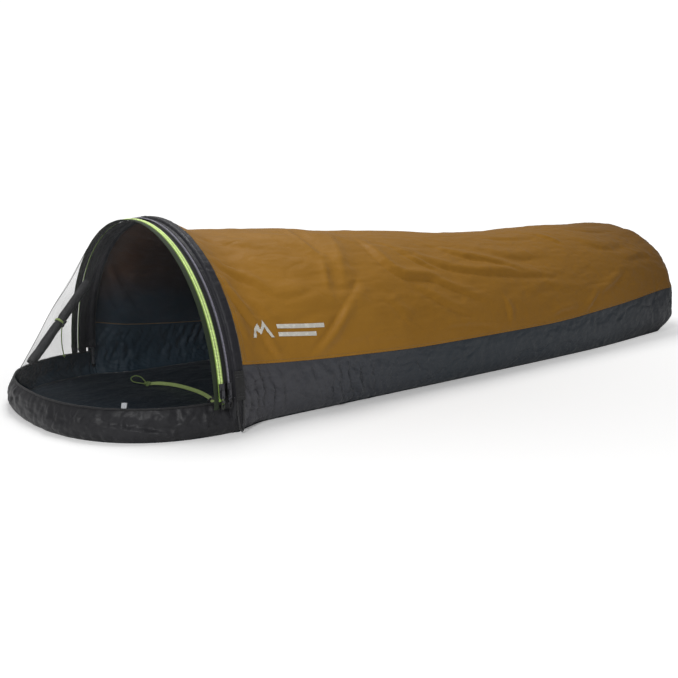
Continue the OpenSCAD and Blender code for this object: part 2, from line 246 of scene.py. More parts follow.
def bead_shape(length, wide, thick, sides=8, rows=4):
    """A rounded bead: the points and faces of an ellipsoid with its long axis along X."""
    points, faces = [(-length / 2, 0, 0)], []
    for i in range(1, rows):
        t = math.pi * i / rows
        for j in range(sides):
            a = 2 * math.pi * j / sides
            points.append((-length / 2 * math.cos(t), wide / 2 * math.sin(t) * math.cos(a),
                           thick / 2 * math.sin(t) * math.sin(a)))
    points.append((length / 2, 0, 0))
    last = len(points) - 1
    ring = lambda i, j: 1 + (i - 1) * sides + j % sides
    for j in range(sides):
        faces.append((0, ring(1, j), ring(1, j + 1)))
        faces.append((last, ring(rows - 1, j + 1), ring(rows - 1, j)))
        for i in range(1, rows - 1):
            faces.append((ring(i, j), ring(i + 1, j), ring(i + 1, j + 1), ring(i, j + 1)))
    return np.array(points), faces


def basis(at, x, y, z):
    m = Matrix.Identity(4)
    for k, v in enumerate((x, y, z, at)):
        m.col[k][:3] = tuple(v)
    return m


def hoop_basis(x, r, a):
    """Axes at a point of the hoop: X across it, Y along it, Z outwards."""
    t = math.radians(a)
    out = Vector((0, -math.cos(t), math.sin(t)))
    along = Vector((0, math.sin(t), math.cos(t)))
    return basis(on_hoop(x, r, a), Vector((1, 0, 0)), -along, out)


def stitches(name, path, up, pitch, length, thread, material, lift=0.0):
    """A row of stitches that lies along a path."""
    path = np.asarray(path, float)
    run = run_of(path)
    at = np.arange(pitch / 2, run[-1], pitch)
    up = np.broadcast_to(np.asarray(up, float), path.shape)
    where = np.stack([np.interp(at, run, path[:, k]) for k in range(3)], 1)
    lifted = np.stack([np.interp(at, run, up[:, k]) for k in range(3)], 1)
    ahead = np.stack([np.interp(at + pitch / 3, run, path[:, k]) for k in range(3)], 1) - where
    places = []
    for p, n, t in zip(where, lifted, ahead):
        t, n = Vector(t), Vector(n)
        if t.length < 1e-7:
            continue
        t.normalize()
        n = (n - t * n.dot(t)).normalized()
        places.append(basis(Vector(p) + n * lift, t, n.cross(t), n))
    return copies(name, bead_shape(length, thread, thread * 0.8, 6, 3), places, material)


def field(points, scale, seed=0.0, octaves=3):
    """Smooth seeded noise, about -1 to 1, at each point. scale is the size of its features, a
    number or one per axis."""
    p = np.asarray(points, float).reshape(-1, 3) / np.asarray(scale, float) + seed
    out = [noise.fractal(Vector(q), 0.8, 2.1, octaves, noise_basis="PERLIN_ORIGINAL") for q in p]
    return np.array(out).reshape(np.asarray(points).shape[:-1])


def flow(u, v, w, seed, octaves=2):
    """Noise over coordinates that are already divided by the size of their features."""
    return field(np.stack(np.broadcast_arrays(u, v, w), -1), 1, seed, octaves)


def smoothstep(x, low, high):
    t = np.clip((np.asarray(x, float) - low) / (high - low), 0, 1)
    return t * t * (3 - 2 * t)


# ---------------------------------------------------------------- materials
def add(tree, kind, inputs=None, **settings):
    """A shader node; an input is a value, or another node's output to link."""
    n = tree.nodes.new("ShaderNode" + kind)
    for key, value in settings.items():
        setattr(n, key, value)
    for key, value in (inputs or {}).items():
        if isinstance(value, bpy.types.NodeSocket):
            tree.links.new(value, n.inputs[key])
        else:
            n.inputs[key].default_value = value
    return n


def new_material(name, **sockets):
    m = bpy.data.materials.new(name)
    m.use_nodes = True
    shader = m.node_tree.nodes["Principled BSDF"]
    for key, value in sockets.items():
        shader.inputs[key.replace("_", " ")].default_value = value
    return m, m.node_tree, shader


def rgb(colour):
    return (*colour, 1.0)


def noise_at(tree, where, size, detail=4.0, rough=0.55):
    return add(tree, "TexNoise", {"Vector": where, "Scale": 1 / size, "Detail": detail,
                                  "Roughness": rough}).outputs["Fac"]


def remap(tree, value, low, high, to_low=0.0, to_high=1.0):
    return add(tree, "MapRange", {"Value": value, "From Min": low, "From Max": high, "To Min": to_low,
                                  "To Max": to_high}).outputs["Result"]


def mix(tree, factor, a, b):
    a = rgb(a) if isinstance(a, tuple) and len(a) == 3 else a
    b = rgb(b) if isinstance(b, tuple) and len(b) == 3 else b
    return add(tree, "MixRGB", {"Fac": factor, "Color1": a, "Color2": b}).outputs["Color"]


def threads(tree, where, direction, pitch):
    """Parallel threads, 0 to 1, at a pitch along X or Y of the coordinates."""
    # At scale 1 the texture's phase is 20 times the distance
    return add(tree, "TexWave", {"Vector": where, "Scale": 2 * math.pi / (20 * pitch)},
               wave_type="BANDS", bands_direction=direction).outputs["Fac"]


def maths(tree, operation, a, b):
    return add(tree, "Math", {0: a, 1: b}, operation=operation).outputs["Value"]


def bump(tree, height, distance, strength=1.0, onto=None):
    inputs = {"Height": height, "Distance": distance, "Strength": strength}
    if onto is not None:
        inputs["Normal"] = onto
    return add(tree, "Bump", inputs).outputs["Normal"]


def nylon(name, colour, worn, rough=0.5, crinkle=0.6, grid=5 * MM, sheen=0.08, gloss=0.3, along=(),
          low=None):
    """Coated ripstop nylon: patchy tone, creases, a faint grid, and paler worn high spots. along
    has (start, end, colour) changes behind the hoop, painted shade that darkens the cloth towards the foot,
    and low is another colour for the lower part."""
    m, tree, shader = new_material(name, Sheen_Weight=sheen, Sheen_Roughness=0.4, Specular_IOR_Level=gloss)
    coords = add(tree, "TexCoord")
    where, cloth = coords.outputs["Object"], coords.outputs["UV"]
    patches = noise_at(tree, where, 0.16, 3.0)
    base = mix(tree, remap(tree, patches, 0.35, 0.7), colour, worn)
    place_of = add(tree, "SeparateXYZ", {"Vector": where}).outputs
    # Painted shade: each along colour takes over further behind the hoop, so the cloth darkens towards the
    # foot, where less lamp light reaches.
    for start, end, tone in along:
        base = mix(tree, remap(tree, place_of["X"], HOOP_X + start, HOOP_X + end), base, tone)
    if low:
        height = maths(tree, "ADD", place_of["Z"], maths(tree, "MULTIPLY", patches, 0.06))
        base = mix(tree, remap(tree, height, 0.21, 0.29), low, base)
    dust = noise_at(tree, where, 0.02, 6.0, 0.7)
    pale = tuple(min(1, 1.5 * c + 0.01) for c in worn)
    base = mix(tree, remap(tree, dust, 0.4, 0.75, 0.0, 0.12), base, pale)
    tree.links.new(base, shader.inputs["Base Color"])
    tree.links.new(remap(tree, dust, 0.3, 0.7, rough - 0.07, rough + 0.1), shader.inputs["Roughness"])
    ripstop = maths(tree, "MAXIMUM", maths(tree, "POWER", threads(tree, cloth, "X", grid), 12.0),
                    maths(tree, "POWER", threads(tree, cloth, "Y", grid), 12.0))
    # Creases are where a noise crosses its middle value, so they are thin lines with flats between
    long = add(tree, "Mapping", {"Vector": where, "Scale": (0.5, 1, 1)}).outputs["Vector"]
    crossing = maths(tree, "ABSOLUTE", maths(tree, "SUBTRACT", noise_at(tree, long, 0.085, 2.0), 0.5), 0.0)
    creases = remap(tree, crossing, 0.0, 0.06)
    normal = bump(tree, creases, 1.5 * MM * crinkle, 0.7)
    normal = bump(tree, noise_at(tree, where, 0.035, 5.0, 0.62), 2.2 * MM * crinkle, 1.0, normal)
    normal = bump(tree, ripstop, 0.08 * MM, 0.5, normal)
    tree.links.new(normal, shader.inputs["Normal"])
    return m


def webbing(name, colour, worn, rough=0.75, sheen=0.1):
    """Woven tape: cross ribs, with worn lighter threads."""
    pitch = 1.4 * MM
    m, tree, shader = new_material(name, Sheen_Weight=sheen, Roughness=rough)
    coords = add(tree, "TexCoord")
    ribs = threads(tree, coords.outputs["UV"], "X", pitch)
    rows = threads(tree, coords.outputs["UV"], "Y", pitch * 0.7)
    weave = maths(tree, "MULTIPLY", ribs, rows)
    fuzz = noise_at(tree, coords.outputs["Object"], 6 * MM, 6.0, 0.7)
    shade = mix(tree, remap(tree, weave, 0.0, 0.6), tuple(0.55 * c for c in colour), colour)
    tree.links.new(mix(tree, remap(tree, fuzz, 0.5, 0.8, 0.0, 0.5), shade, worn), shader.inputs["Base Color"])
    tree.links.new(bump(tree, weave, 0.25 * MM, 0.8), shader.inputs["Normal"])
    return m


def braided(name, colour, worn, pitch=2.2 * MM):
    """Braided cord: crossing strands round it."""
    m, tree, shader = new_material(name, Sheen_Weight=0.3, Roughness=0.7)
    coords = add(tree, "TexCoord")
    turned = [add(tree, "Mapping", {"Vector": coords.outputs["UV"], "Rotation": (0, 0, math.radians(a))})
              for a in (45, -45)]
    strands = maths(tree, "MULTIPLY", *[threads(tree, t.outputs["Vector"], "X", pitch) for t in turned])
    tree.links.new(mix(tree, strands, tuple(0.5 * c for c in colour), worn), shader.inputs["Base Color"])
    tree.links.new(bump(tree, strands, 0.3 * MM), shader.inputs["Normal"])
    return m


def metal(name, colour, rough):
    m, tree, shader = new_material(name, Metallic=1.0)
    where = add(tree, "TexCoord").outputs["Object"]
    wear = noise_at(tree, where, 4 * MM, 5.0, 0.65)
    tree.links.new(mix(tree, remap(tree, wear, 0.35, 0.75), colour, tuple(0.6 * c for c in colour)),
                   shader.inputs["Base Color"])
    tree.links.new(remap(tree, wear, 0.3, 0.7, rough - 0.08, rough + 0.15), shader.inputs["Roughness"])
    tree.links.new(bump(tree, wear, 0.05 * MM), shader.inputs["Normal"])
    return m


def plastic(name, colour, rough=0.42):
    m, tree, shader = new_material(name, Specular_IOR_Level=0.5)
    where = add(tree, "TexCoord").outputs["Object"]
    grain = noise_at(tree, where, 1.2 * MM, 3.0)
    marks = noise_at(tree, where, 9 * MM, 5.0, 0.7)
    tree.links.new(mix(tree, remap(tree, marks, 0.5, 0.8, 0.0, 0.5), colour, tuple(2.0 * c for c in colour)),
                   shader.inputs["Base Color"])
    tree.links.new(remap(tree, marks, 0.3, 0.7, rough - 0.06, rough + 0.12), shader.inputs["Roughness"])
    tree.links.new(bump(tree, grain, 0.05 * MM), shader.inputs["Normal"])
    return m


def netting(name, colour, open_alpha, thread_alpha, pitch):
    """Fine mesh: threads at a pitch, and a little denser in soft patches."""
    m, tree, shader = new_material(name, Roughness=0.7, Sheen_Weight=0.2, Specular_IOR_Level=0.2)
    coords = add(tree, "TexCoord")
    cells = [maths(tree, "POWER", threads(tree, coords.outputs["UV"], d, pitch), 3.0) for d in "XY"]
    weave = maths(tree, "MAXIMUM", *cells)
    patches = noise_at(tree, coords.outputs["Object"], 0.12, 4.0)
    tree.links.new(mix(tree, patches, colour, tuple(1.8 * c for c in colour)), shader.inputs["Base Color"])
    alpha = remap(tree, weave, 0.0, 1.0, open_alpha, thread_alpha)
    alpha = maths(tree, "MULTIPLY", alpha, remap(tree, patches, 0.3, 0.7, 0.75, 1.25))
    tree.links.new(alpha, shader.inputs["Alpha"])
    return m


# The canopy's along colours are painted shade: lightest by the hoop and darkest at the foot, away from the
# key lamp.
CANOPY = nylon("canopy nylon", (0.345, 0.166, 0.021), (0.295, 0.140, 0.017), rough=0.48, sheen=0.03,
               gloss=0.13, along=[(0.3, 0.8, (0.300, 0.142, 0.017)), (1.3, 1.8, (0.175, 0.078, 0.005))])
CANOPY_IN = nylon("canopy lining", (0.105, 0.048, 0.024), (0.080, 0.038, 0.020), rough=0.6, crinkle=0.4,
                  low=(0.018, 0.036, 0.056))
# The tub's along colours are painted light and shade: lighter by the hoop, where the key lamp is near, and
# darker towards the foot.
TUB = nylon("tub nylon", (0.064, 0.064, 0.072), (0.049, 0.049, 0.057), rough=0.40, crinkle=1.5,
            sheen=0.03, gloss=0.3,
            along=[(0.05, 0.6, (0.024, 0.032, 0.041)), (1.3, 1.8, (0.007, 0.008, 0.012))])
TUB_IN = nylon("tub lining", (0.025, 0.050, 0.074), (0.019, 0.040, 0.060), rough=0.55)
HEAD = nylon("head nylon", (0.021, 0.021, 0.024), (0.014, 0.014, 0.016), rough=0.48, crinkle=0.9, gloss=0.28)
FLOOR = nylon("floor nylon", (0.008, 0.018, 0.028), (0.005, 0.012, 0.020), rough=0.55, crinkle=0.7,
              gloss=0.15)
SLEEVE = nylon("sleeve nylon", (0.018, 0.018, 0.023), (0.013, 0.013, 0.017), rough=0.5, crinkle=0.7,
               grid=3 * MM)
ROLL_CLOTH = nylon("storm door nylon", (0.052, 0.052, 0.054), (0.040, 0.040, 0.043), rough=0.6, crinkle=0.8)
BINDING = webbing("binding tape", (0.012, 0.012, 0.014), (0.03, 0.03, 0.034))
# The piping and the hem are real beads, but their pale tan is partly a painted highlight: the light line
# along the seam and along the hoop's edge.
PAINTED_HIGHLIGHT_PIPING = webbing("piping tape painted highlight", (0.30, 0.19, 0.07), (0.42, 0.30, 0.14))
TAN_THREAD = braided("tan thread", (0.40, 0.28, 0.12), (0.52, 0.40, 0.2), 0.6 * MM)
DARK_THREAD = braided("dark thread", (0.03, 0.03, 0.035), (0.06, 0.06, 0.07), 0.6 * MM)
NET = netting("net mesh", (0.008, 0.009, 0.011), 0.08, 0.36, 1.3 * MM)
NET_SEAM = webbing("net seam tape", (0.010, 0.010, 0.012), (0.03, 0.03, 0.03))
EDGE_TAPE = webbing("net edge tape", (0.014, 0.028, 0.006), (0.03, 0.05, 0.012), sheen=0.05)
FACING = webbing("facing tape", (0.008, 0.008, 0.010), (0.02, 0.02, 0.024))
LIME_TAPE = webbing("lime zip tape", (0.26, 0.42, 0.06), (0.36, 0.55, 0.12), rough=0.6)
LIME_COIL = plastic("lime zip coil", (0.80, 0.98, 0.40), 0.4)
GREY_TAPE = webbing("grey zip tape", (0.10, 0.098, 0.125), (0.2, 0.19, 0.24))
GREY_COIL = plastic("grey zip coil", (0.26, 0.25, 0.31), 0.35)
LIME_WEB = webbing("lime webbing", (0.62, 0.82, 0.26), (0.74, 0.92, 0.42), rough=0.65)
LIME_CORD = braided("lime cord", (0.30, 0.46, 0.10), (0.50, 0.70, 0.2))
OLIVE_CORD = braided("olive cord", (0.035, 0.050, 0.014), (0.09, 0.12, 0.04))
BLACK_CORD = braided("black cord", (0.012, 0.012, 0.013), (0.04, 0.04, 0.045))
BLACK_WEB = webbing("black webbing", (0.010, 0.010, 0.011), (0.03, 0.03, 0.033))
BLACK_PLASTIC = plastic("black plastic", (0.012, 0.012, 0.013))
WHITE_TAPE = webbing("white tape", (0.55, 0.57, 0.60), (0.72, 0.74, 0.78), rough=0.6)
MARK = plastic("printed mark", (0.60, 0.58, 0.52), 0.6)
POLE = metal("pole alloy", (0.62, 0.63, 0.66), 0.28)
SLIDER = metal("slider metal", (0.10, 0.10, 0.11), 0.38)
STOP = metal("zip stop metal", (0.13, 0.13, 0.14), 0.4)
ELASTIC = braided("elastic cord", (0.012, 0.012, 0.013), (0.03, 0.03, 0.03), 1.4 * MM)


def place(obj, body, slot, *nodes):
    """The piece rides on a body and stands for the CAD nodes. slot is not used."""
    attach(obj, body)
    if nodes:
        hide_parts(*nodes)
    return obj


# ---------------------------------------------------------------- camera, light and floor
def make_camera():
    azimuth, dip = math.radians(39.65), math.radians(10.36)
    look = Vector((math.sin(azimuth) * math.cos(dip), math.cos(azimuth) * math.cos(dip), -math.sin(dip)))
    data = bpy.data.cameras.new("camera")
    data.lens = 44.78
    data.sensor_width = 36
    data.clip_end = 500
    cam = bpy.data.objects.new("camera", data)
    cam.location = (-1.588, -1.635, 0.462)
    cam.rotation_euler = look.to_track_quat("-Z", "Y").to_euler()
    bpy.context.collection.objects.link(cam)
    bpy.context.scene.camera = cam


def area_light(name, at, towards, size, power):
    data = bpy.data.lights.new(name, "AREA")
    data.shape = "DISK"
    data.size = size
    data.energy = power
    lamp = bpy.data.objects.new(name, data)
    lamp.location = at
    lamp.rotation_euler = (Vector(towards) - Vector(at)).to_track_quat("-Z", "Y").to_euler()
    bpy.context.collection.objects.link(lamp)


def make_studio():
    """White surroundings with soft lamps. The floor glows towards the camera only, more further
    from the bag, so that it is white except in the bag's shadow."""
    scene = bpy.context.scene
    scene.view_settings.view_transform = "Standard"
    world = bpy.data.worlds.new("studio")
    world.use_nodes = True
    tree = world.node_tree
    seen = add(tree, "LightPath").outputs["Is Camera Ray"]
    light = tree.nodes["Background"]
    light.inputs["Strength"].default_value = 0.28
    shown = add(tree, "Background", {"Strength": 1.05})
    both = add(tree, "MixShader", {0: seen, 1: light.outputs["Background"], 2: shown.outputs["Background"]})
    tree.links.new(both.outputs["Shader"], tree.nodes["World Output"].inputs["Surface"])
    for background in (light, shown):
        background.inputs["Color"].default_value = (1, 1, 1, 1)
    scene.world = world
    area_light("key", at=(-2.3, -1.5, 1.6), towards=(-0.5, 0, 0.15), size=0.7, power=27)
    area_light("top", at=(-0.2, 0.7, 2.5), towards=(-0.2, 0, 0), size=1.5, power=34)
    m, tree, shader = new_material("studio floor", Roughness=0.9, Specular_IOR_Level=0.05)
    where = add(tree, "TexCoord").outputs["Object"]
    tree.links.new(mix(tree, noise_at(tree, where, 1.5), (0.89, 0.89, 0.89), (0.91, 0.91, 0.91)),
                   shader.inputs["Base Color"])
    away = add(tree, "VectorMath", {0: where, 1: (-0.4, 0, 0)}, operation="DISTANCE").outputs["Value"]
    near_glow, far_glow = 0.085, 0.85
    glow = remap(tree, away, 0.3, 2.6, near_glow, far_glow)
    seen = add(tree, "LightPath").outputs["Is Camera Ray"]
    shader.inputs["Emission Color"].default_value = (1, 1, 1, 1)
    tree.links.new(maths(tree, "MULTIPLY", glow, seen), shader.inputs["Emission Strength"])
    reach = 60.0
    corners = [(-reach, -reach, 0), (reach, -reach, 0), (reach, reach, 0), (-reach, reach, 0)]
    ground = mesh_object("studio_floor", corners, [(0, 1, 2, 3)], m)


# ---------------------------------------------------------------- the bag's outlines
def hermite(x, xs, ys):
    """Smooth interpolation that doesn't overshoot its points."""
    x = np.clip(np.asarray(x, float), xs[0], xs[-1])
    slope = np.diff(ys) / np.diff(xs)
    tangent = np.zeros(len(xs))
    tangent[0], tangent[-1] = slope[0], slope[-1]
    for i in range(1, len(xs) - 1):
        if slope[i - 1] * slope[i] > 0:
            tangent[i] = 2 * slope[i - 1] * slope[i] / (slope[i - 1] + slope[i])
    i = np.clip(np.searchsorted(xs, x) - 1, 0, len(xs) - 2)
    h = xs[i + 1] - xs[i]
    t = (x - xs[i]) / h
    return (ys[i] * (1 + 2 * t) * (1 - t) ** 2 + tangent[i] * h * t * (1 - t) ** 2
            + ys[i + 1] * t * t * (3 - 2 * t) + tangent[i + 1] * h * t * t * (t - 1))


class Ring:
    """Outline sizes of the bag at distances c along its ridge, round the foot as well."""

    def __init__(self, c):
        c = np.asarray(c, float)
        turn = np.clip(c - ROUND_S, 0, None) / FOOT_ROUND
        s = np.minimum(c, ROUND_S)
        drawn_in = FOOT_ROUND * (1 - np.cos(turn))
        ridge, half, wide, ground, seam = (hermite(s, STATIONS[:, 0], STATIONS[:, k]) for k in range(1, 6))
        self.x = HOOP_X + s + FOOT_ROUND * np.sin(turn)
        self.ridge, self.half, self.ground = ridge - drawn_in, half - drawn_in, ground - drawn_in
        self.wide, self.seam = wide, seam + 6 * MM * (1 - np.cos(turn))

    def wall(self, z):
        """Half width at height z."""
        under = np.clip((self.wide - z) / self.wide, 0, 1)
        over = np.clip((z - self.wide) / (self.ridge - self.wide), 0, 1)
        low = self.ground + (self.half - self.ground) * np.sqrt(1 - under ** 2)
        return np.where(z < self.wide, low, self.half * np.sqrt(1 - over ** 2))


def drawn_foot(points):
    """The foot end drawn in low down, as the fabric is slack there."""
    end = HOOP_X + FOOT_S
    x, z = points[..., 0].copy(), points[..., 2]
    points[..., 0] -= 34 * MM * smoothstep(x, end - 0.20, end) * (1 - smoothstep(z, 0.13, 0.27))
    points[..., 1] *= 1 - 0.09 * smoothstep(x, end - 0.6, end) * (1 - smoothstep(z, 0, 0.05))
    return points


def canopy_base(c, f):
    """Points over the bag from the near seam (f 0) over the ridge (0.5) to the far seam (1)."""
    ring = Ring(c)
    rise = ring.ridge - ring.wide
    low = np.arcsin(np.clip((ring.seam - ring.wide) / rise, 0, 1))
    a = low + (math.pi - 2 * low) * f
    return np.stack([ring.x + 0 * f, -ring.half * np.cos(a), ring.wide + rise * np.sin(a)], -1)


# ---------------------------------------------------------------- folds
# A fold of the canopy: points (distance along the bag, distance up from the seam), how wide it is
# and how far it stands out, in millimetres
NEAR_FOLDS = [
    ([(10, 200), (30, 140), (60, 90), (85, 60)], 11, 6.5), ([(8, 120), (20, 80), (38, 45)], 9, 4.5),
    ([(70, 135), (90, 118), (112, 88)], 9, 2.6), ([(85, 55), (98, 30), (112, 6)], 9, 4.6),
    ([(325, 118), (285, 82), (250, 50), (190, 4)], 10, 6.0),
    ([(30, 225), (70, 195), (100, 180), (135, 148)], 12, 4.2),
    ([(135, 150), (180, 145), (235, 158)], 16, 2.8), ([(325, 230), (312, 190), (292, 140)], 22, -4.5),
    ([(395, 180), (360, 140), (322, 110)], 16, 3.0),
    ([(490, 330), (492, 230), (530, 182), (635, 170)], 16, 5.0),
    ([(570, 270), (605, 225), (655, 190)], 11, 4.0), ([(330, 395), (312, 310), (322, 250)], 20, -4.5),
    ([(440, 115), (470, 90), (505, 68)], 13, 3.2),
    ([(560, 290), (625, 240), (690, 200), (810, 170), (1100, 132)], 15, 5.5),
    ([(720, 285), (780, 240), (860, 208), (965, 160)], 13, 4.6),
    ([(510, 182), (600, 172), (640, 148), (710, 112), (760, 88)], 12, 4.2),
    ([(540, 152), (580, 120), (620, 92), (712, 52)], 13, 3.8), ([(830, 84), (833, 55), (828, 22)], 10, 3.6),
    ([(455, 85), (470, 70), (485, 55)], 9, 2.6), ([(1245, 50), (1320, 66), (1400, 92)], 13, 4.0),
    ([(1160, 8), (1200, 30), (1245, 55)], 10, 3.8), ([(1165, 292), (1190, 262), (1212, 230)], 10, 3.6),
    ([(600, 40), (690, 36), (790, 18)], 9, 2.8), ([(440, 330), (400, 240), (352, 140)], 40, -5.0),
    ([(200, 340), (260, 300), (300, 240)], 26, 3.0), ([(60, 330), (130, 300), (215, 290)], 20, 2.6),
    ([(880, 250), (980, 215), (1120, 205)], 22, 3.6), ([(930, 90), (1010, 105), (1110, 88)], 20, 3.2),
    ([(1290, 230), (1390, 190), (1500, 185)], 24, 3.4), ([(1440, 120), (1520, 130), (1610, 118)], 18, 3.0),
    ([(1330, 320), (1430, 280), (1560, 270)], 24, 3.0), ([(960, 330), (1060, 300), (1150, 296)], 18, 3.0),
    ([(160, 100), (230, 118), (300, 116)], 24, 2.2), ([(1000, 18), (1060, 30), (1130, 28)], 9, 2.6),
]
FAR_FOLDS = [
    ([(10, 210), (35, 150), (70, 90), (110, 40)], 12, 6.0), ([(12, 130), (30, 80), (60, 30)], 10, 4.4),
    ([(330, 20), (280, 70), (240, 120)], 11, 4.6),
    ([(420, 300), (460, 220), (560, 180), (700, 170)], 17, 4.8),
    ([(620, 260), (720, 210), (860, 190)], 14, 4.4), ([(500, 120), (600, 90), (700, 50)], 13, 3.6),
    ([(820, 110), (835, 60), (830, 16)], 10, 3.6), ([(900, 250), (1010, 210), (1180, 200)], 20, 4.0),
    ([(1150, 12), (1210, 45), (1290, 60), (1390, 95)], 12, 4.0),
    ([(1300, 240), (1420, 200), (1530, 190)], 22, 3.6),
    ([(150, 190), (220, 160), (330, 170)], 20, 3.2), ([(240, 340), (330, 280), (380, 180)], 32, -4.6),
    ([(1000, 120), (1090, 100), (1170, 110)], 18, 3.0), ([(1450, 110), (1530, 125), (1620, 110)], 18, 3.0),
]
# The same for the tub's outside: points (distance along the bag, height)
TUB_FOLDS = [
    ([(18, 108), (26, 60), (30, 12)], 6, 5.0), ([(38, 100), (50, 62), (46, 14)], 6, 5.5),
    ([(62, 96), (70, 66), (64, 20)], 6, 4.4), ([(84, 90), (96, 60), (92, 8)], 7, 5.0),
    ([(112, 84), (122, 50), (118, 16)], 7, 3.0), ([(182, 99), (205, 60), (215, 22)], 8, 3.4),
    ([(225, 98), (235, 62), (250, 30)], 7, 3.6), ([(258, 95), (268, 60), (262, 26)], 7, 3.4),
    ([(292, 92), (290, 62), (305, 18)], 8, 4.2), ([(330, 90), (322, 56), (338, 14)], 8, 4.6),
    ([(368, 88), (352, 50), (372, 17)], 8, 3.6), ([(405, 84), (418, 50), (420, 20)], 9, 2.6),
    ([(486, 78), (498, 62), (512, 42)], 8, 3.4), ([(505, 58), (540, 36), (566, 14)], 9, 3.0),
    ([(700, 84), (722, 52), (730, 24)], 11, 2.4), ([(905, 88), (930, 50), (945, 22)], 11, 2.2),
    ([(1198, 112), (1206, 92), (1212, 72)], 8, 3.0), ([(1320, 68), (1342, 82), (1362, 96)], 9, 2.6),
    ([(1500, 120), (1530, 84), (1546, 44)], 12, 2.6), ([(1660, 124), (1690, 80), (1700, 34)], 10, 3.2),
]


# How far the fabric of each panel stands out
CANOPY_SWELL, CANOPY_RIPPLE, CANOPY_CREASE = 7.0 * MM, 1.8 * MM, 2.4 * MM
TUB_GATHER, TUB_CREASE, TUB_SWELL = 5.5 * MM, 3.4 * MM, 3.2 * MM
HEAD_PLEAT, HEAD_CREASE, HEAD_SWELL = 2.6 * MM, 2.8 * MM, 2.4 * MM


def fold_height(u, v, folds):
    """Height of a list of folds at coordinates (u, v): a broad crest with a narrow furrow beside it."""
    height = np.zeros_like(u)
    for points, width, depth in folds:
        line = curve_points([(a * MM, b * MM, 0) for a, b in points], 14)[:, :2]
        best = np.full(u.shape, 1e9)
        side = np.zeros_like(u)
        along = np.zeros_like(u)
        step = np.diff(line, axis=0)
        for k, (start, d) in enumerate(zip(line[:-1], step)):
            du, dv = u - start[0], v - start[1]
            t = np.clip((du * d[0] + dv * d[1]) / (d @ d), 0, 1)
            away = np.hypot(du - t * d[0], dv - t * d[1])
            closer = away < best
            best = np.where(closer, away, best)
            side = np.where(closer, np.sign(du * d[1] - dv * d[0]), side)
            along = np.where(closer, (k + t) / len(step), along)
        across = side * best / (width * MM)
        taper = np.clip(np.sin(np.pi * np.clip(along, 0.02, 0.98)), 0, 1) ** 0.6
        taper *= np.exp(-(best / (5 * width * MM)) ** 2)
        crest = 0.8 * np.exp(-((across + 0.45) / 1.2) ** 2)
        furrow = 0.8 * np.exp(-(np.abs(across - 0.75) / 0.5) ** 1.4)
        height += 1.7 * depth * MM * taper * (crest - furrow)
    return height


def crinkles(points, size, seed):
    """Sharp-crested random creases, 0 to 1, like those of crumpled nylon."""
    a = np.abs(field(points, size, seed, 3))
    b = np.abs(field(points, np.asarray(size) * 0.6, seed + 9.1, 3))
    return 1 - np.clip(1.6 * np.minimum(a, b) ** 0.7, 0, 1)


# ---------------------------------------------------------------- canopy, foot panel and seams
CANOPY_C = np.unique(np.concatenate([
    np.linspace(BODY_FRONT - 2 * MM, 0.05, 10), np.linspace(0.05, FOOT_SEAM, 250),
    np.linspace(FOOT_SEAM, BODY_END, 30)]))
CANOPY_F = np.linspace(0, 1, 151)


def canopy_surface():
    """The whole draped surface: points and the two distances that its folds are laid out in."""
    c, f = np.meshgrid(CANOPY_C, CANOPY_F, indexing="ij")
    base = canopy_base(c, f)
    normal = grid_normals(base)
    if normal[len(CANOPY_C) // 2, len(CANOPY_F) // 2, 2] < 0:
        normal = -normal
    up = grid_lengths(base)[..., 1]
    down = up[:, -1:] - up
    height = np.where(f <= 0.5, fold_height(c, up, NEAR_FOLDS), fold_height(c, down, FAR_FOLDS))
    height *= 1 - 0.75 * np.exp(-((f - 0.5) / 0.02) ** 2)
    swell = field(base, (0.34, 0.26, 0.26), 3.7, 2)
    ripple = field(base + 0.35 * base[..., 2:] * np.array([1, 0, 0]), (0.16, 0.06, 0.05), 8.3, 3)
    height += CANOPY_SWELL * swell + CANOPY_RIPPLE * ripple
    height += CANOPY_CREASE * (crinkles(base, (0.24, 0.09, 0.06), 21.0) - 0.5)
    # Gathers that fan out from the seam and from the hoop
    at_seam = np.exp(-np.minimum(up, down) / 0.022)
    height += 1.5 * MM * at_seam * flow(c / 0.016, 0, 4, 5.0)
    at_hoop = np.exp(-(c - BODY_FRONT) / 0.035)
    height += 1.8 * MM * at_hoop * flow(up / 0.02, c / 0.08, 1, 2.0)
    # The foot panel's seam: a groove with puckers on both sides
    off = np.abs(c - FOOT_SEAM)
    pucker = flow(up / 0.013, c / 0.05, 0, 7.0)
    busy = 0.6 + 0.8 * np.exp(-((up - 0.2) / 0.12) ** 2)
    height += 4.2 * MM * busy * np.exp(-off / 0.022) * pucker * smoothstep(off, 0, 0.006)
    height -= 4.0 * MM * np.exp(-(off / 0.006) ** 2)
    # Held down along the seams and the hoop
    free = smoothstep(np.minimum(up, down), 0.0, 0.03) * smoothstep(c, BODY_FRONT, 0.06)
    height *= 0.3 + 0.7 * free
    height *= smoothstep(np.minimum(up, down), -0.004, 0.012)
    height -= 3.0 * MM * np.exp(-(c - BODY_FRONT + 2 * MM) / 0.004)
    return drawn_foot(base + normal * height[..., None]), normal, c, up


CANOPY_P, CANOPY_N, CANOPY_U, CANOPY_V = canopy_surface()
SEAM_ROW = int(np.argmin(abs(CANOPY_C - FOOT_SEAM)))


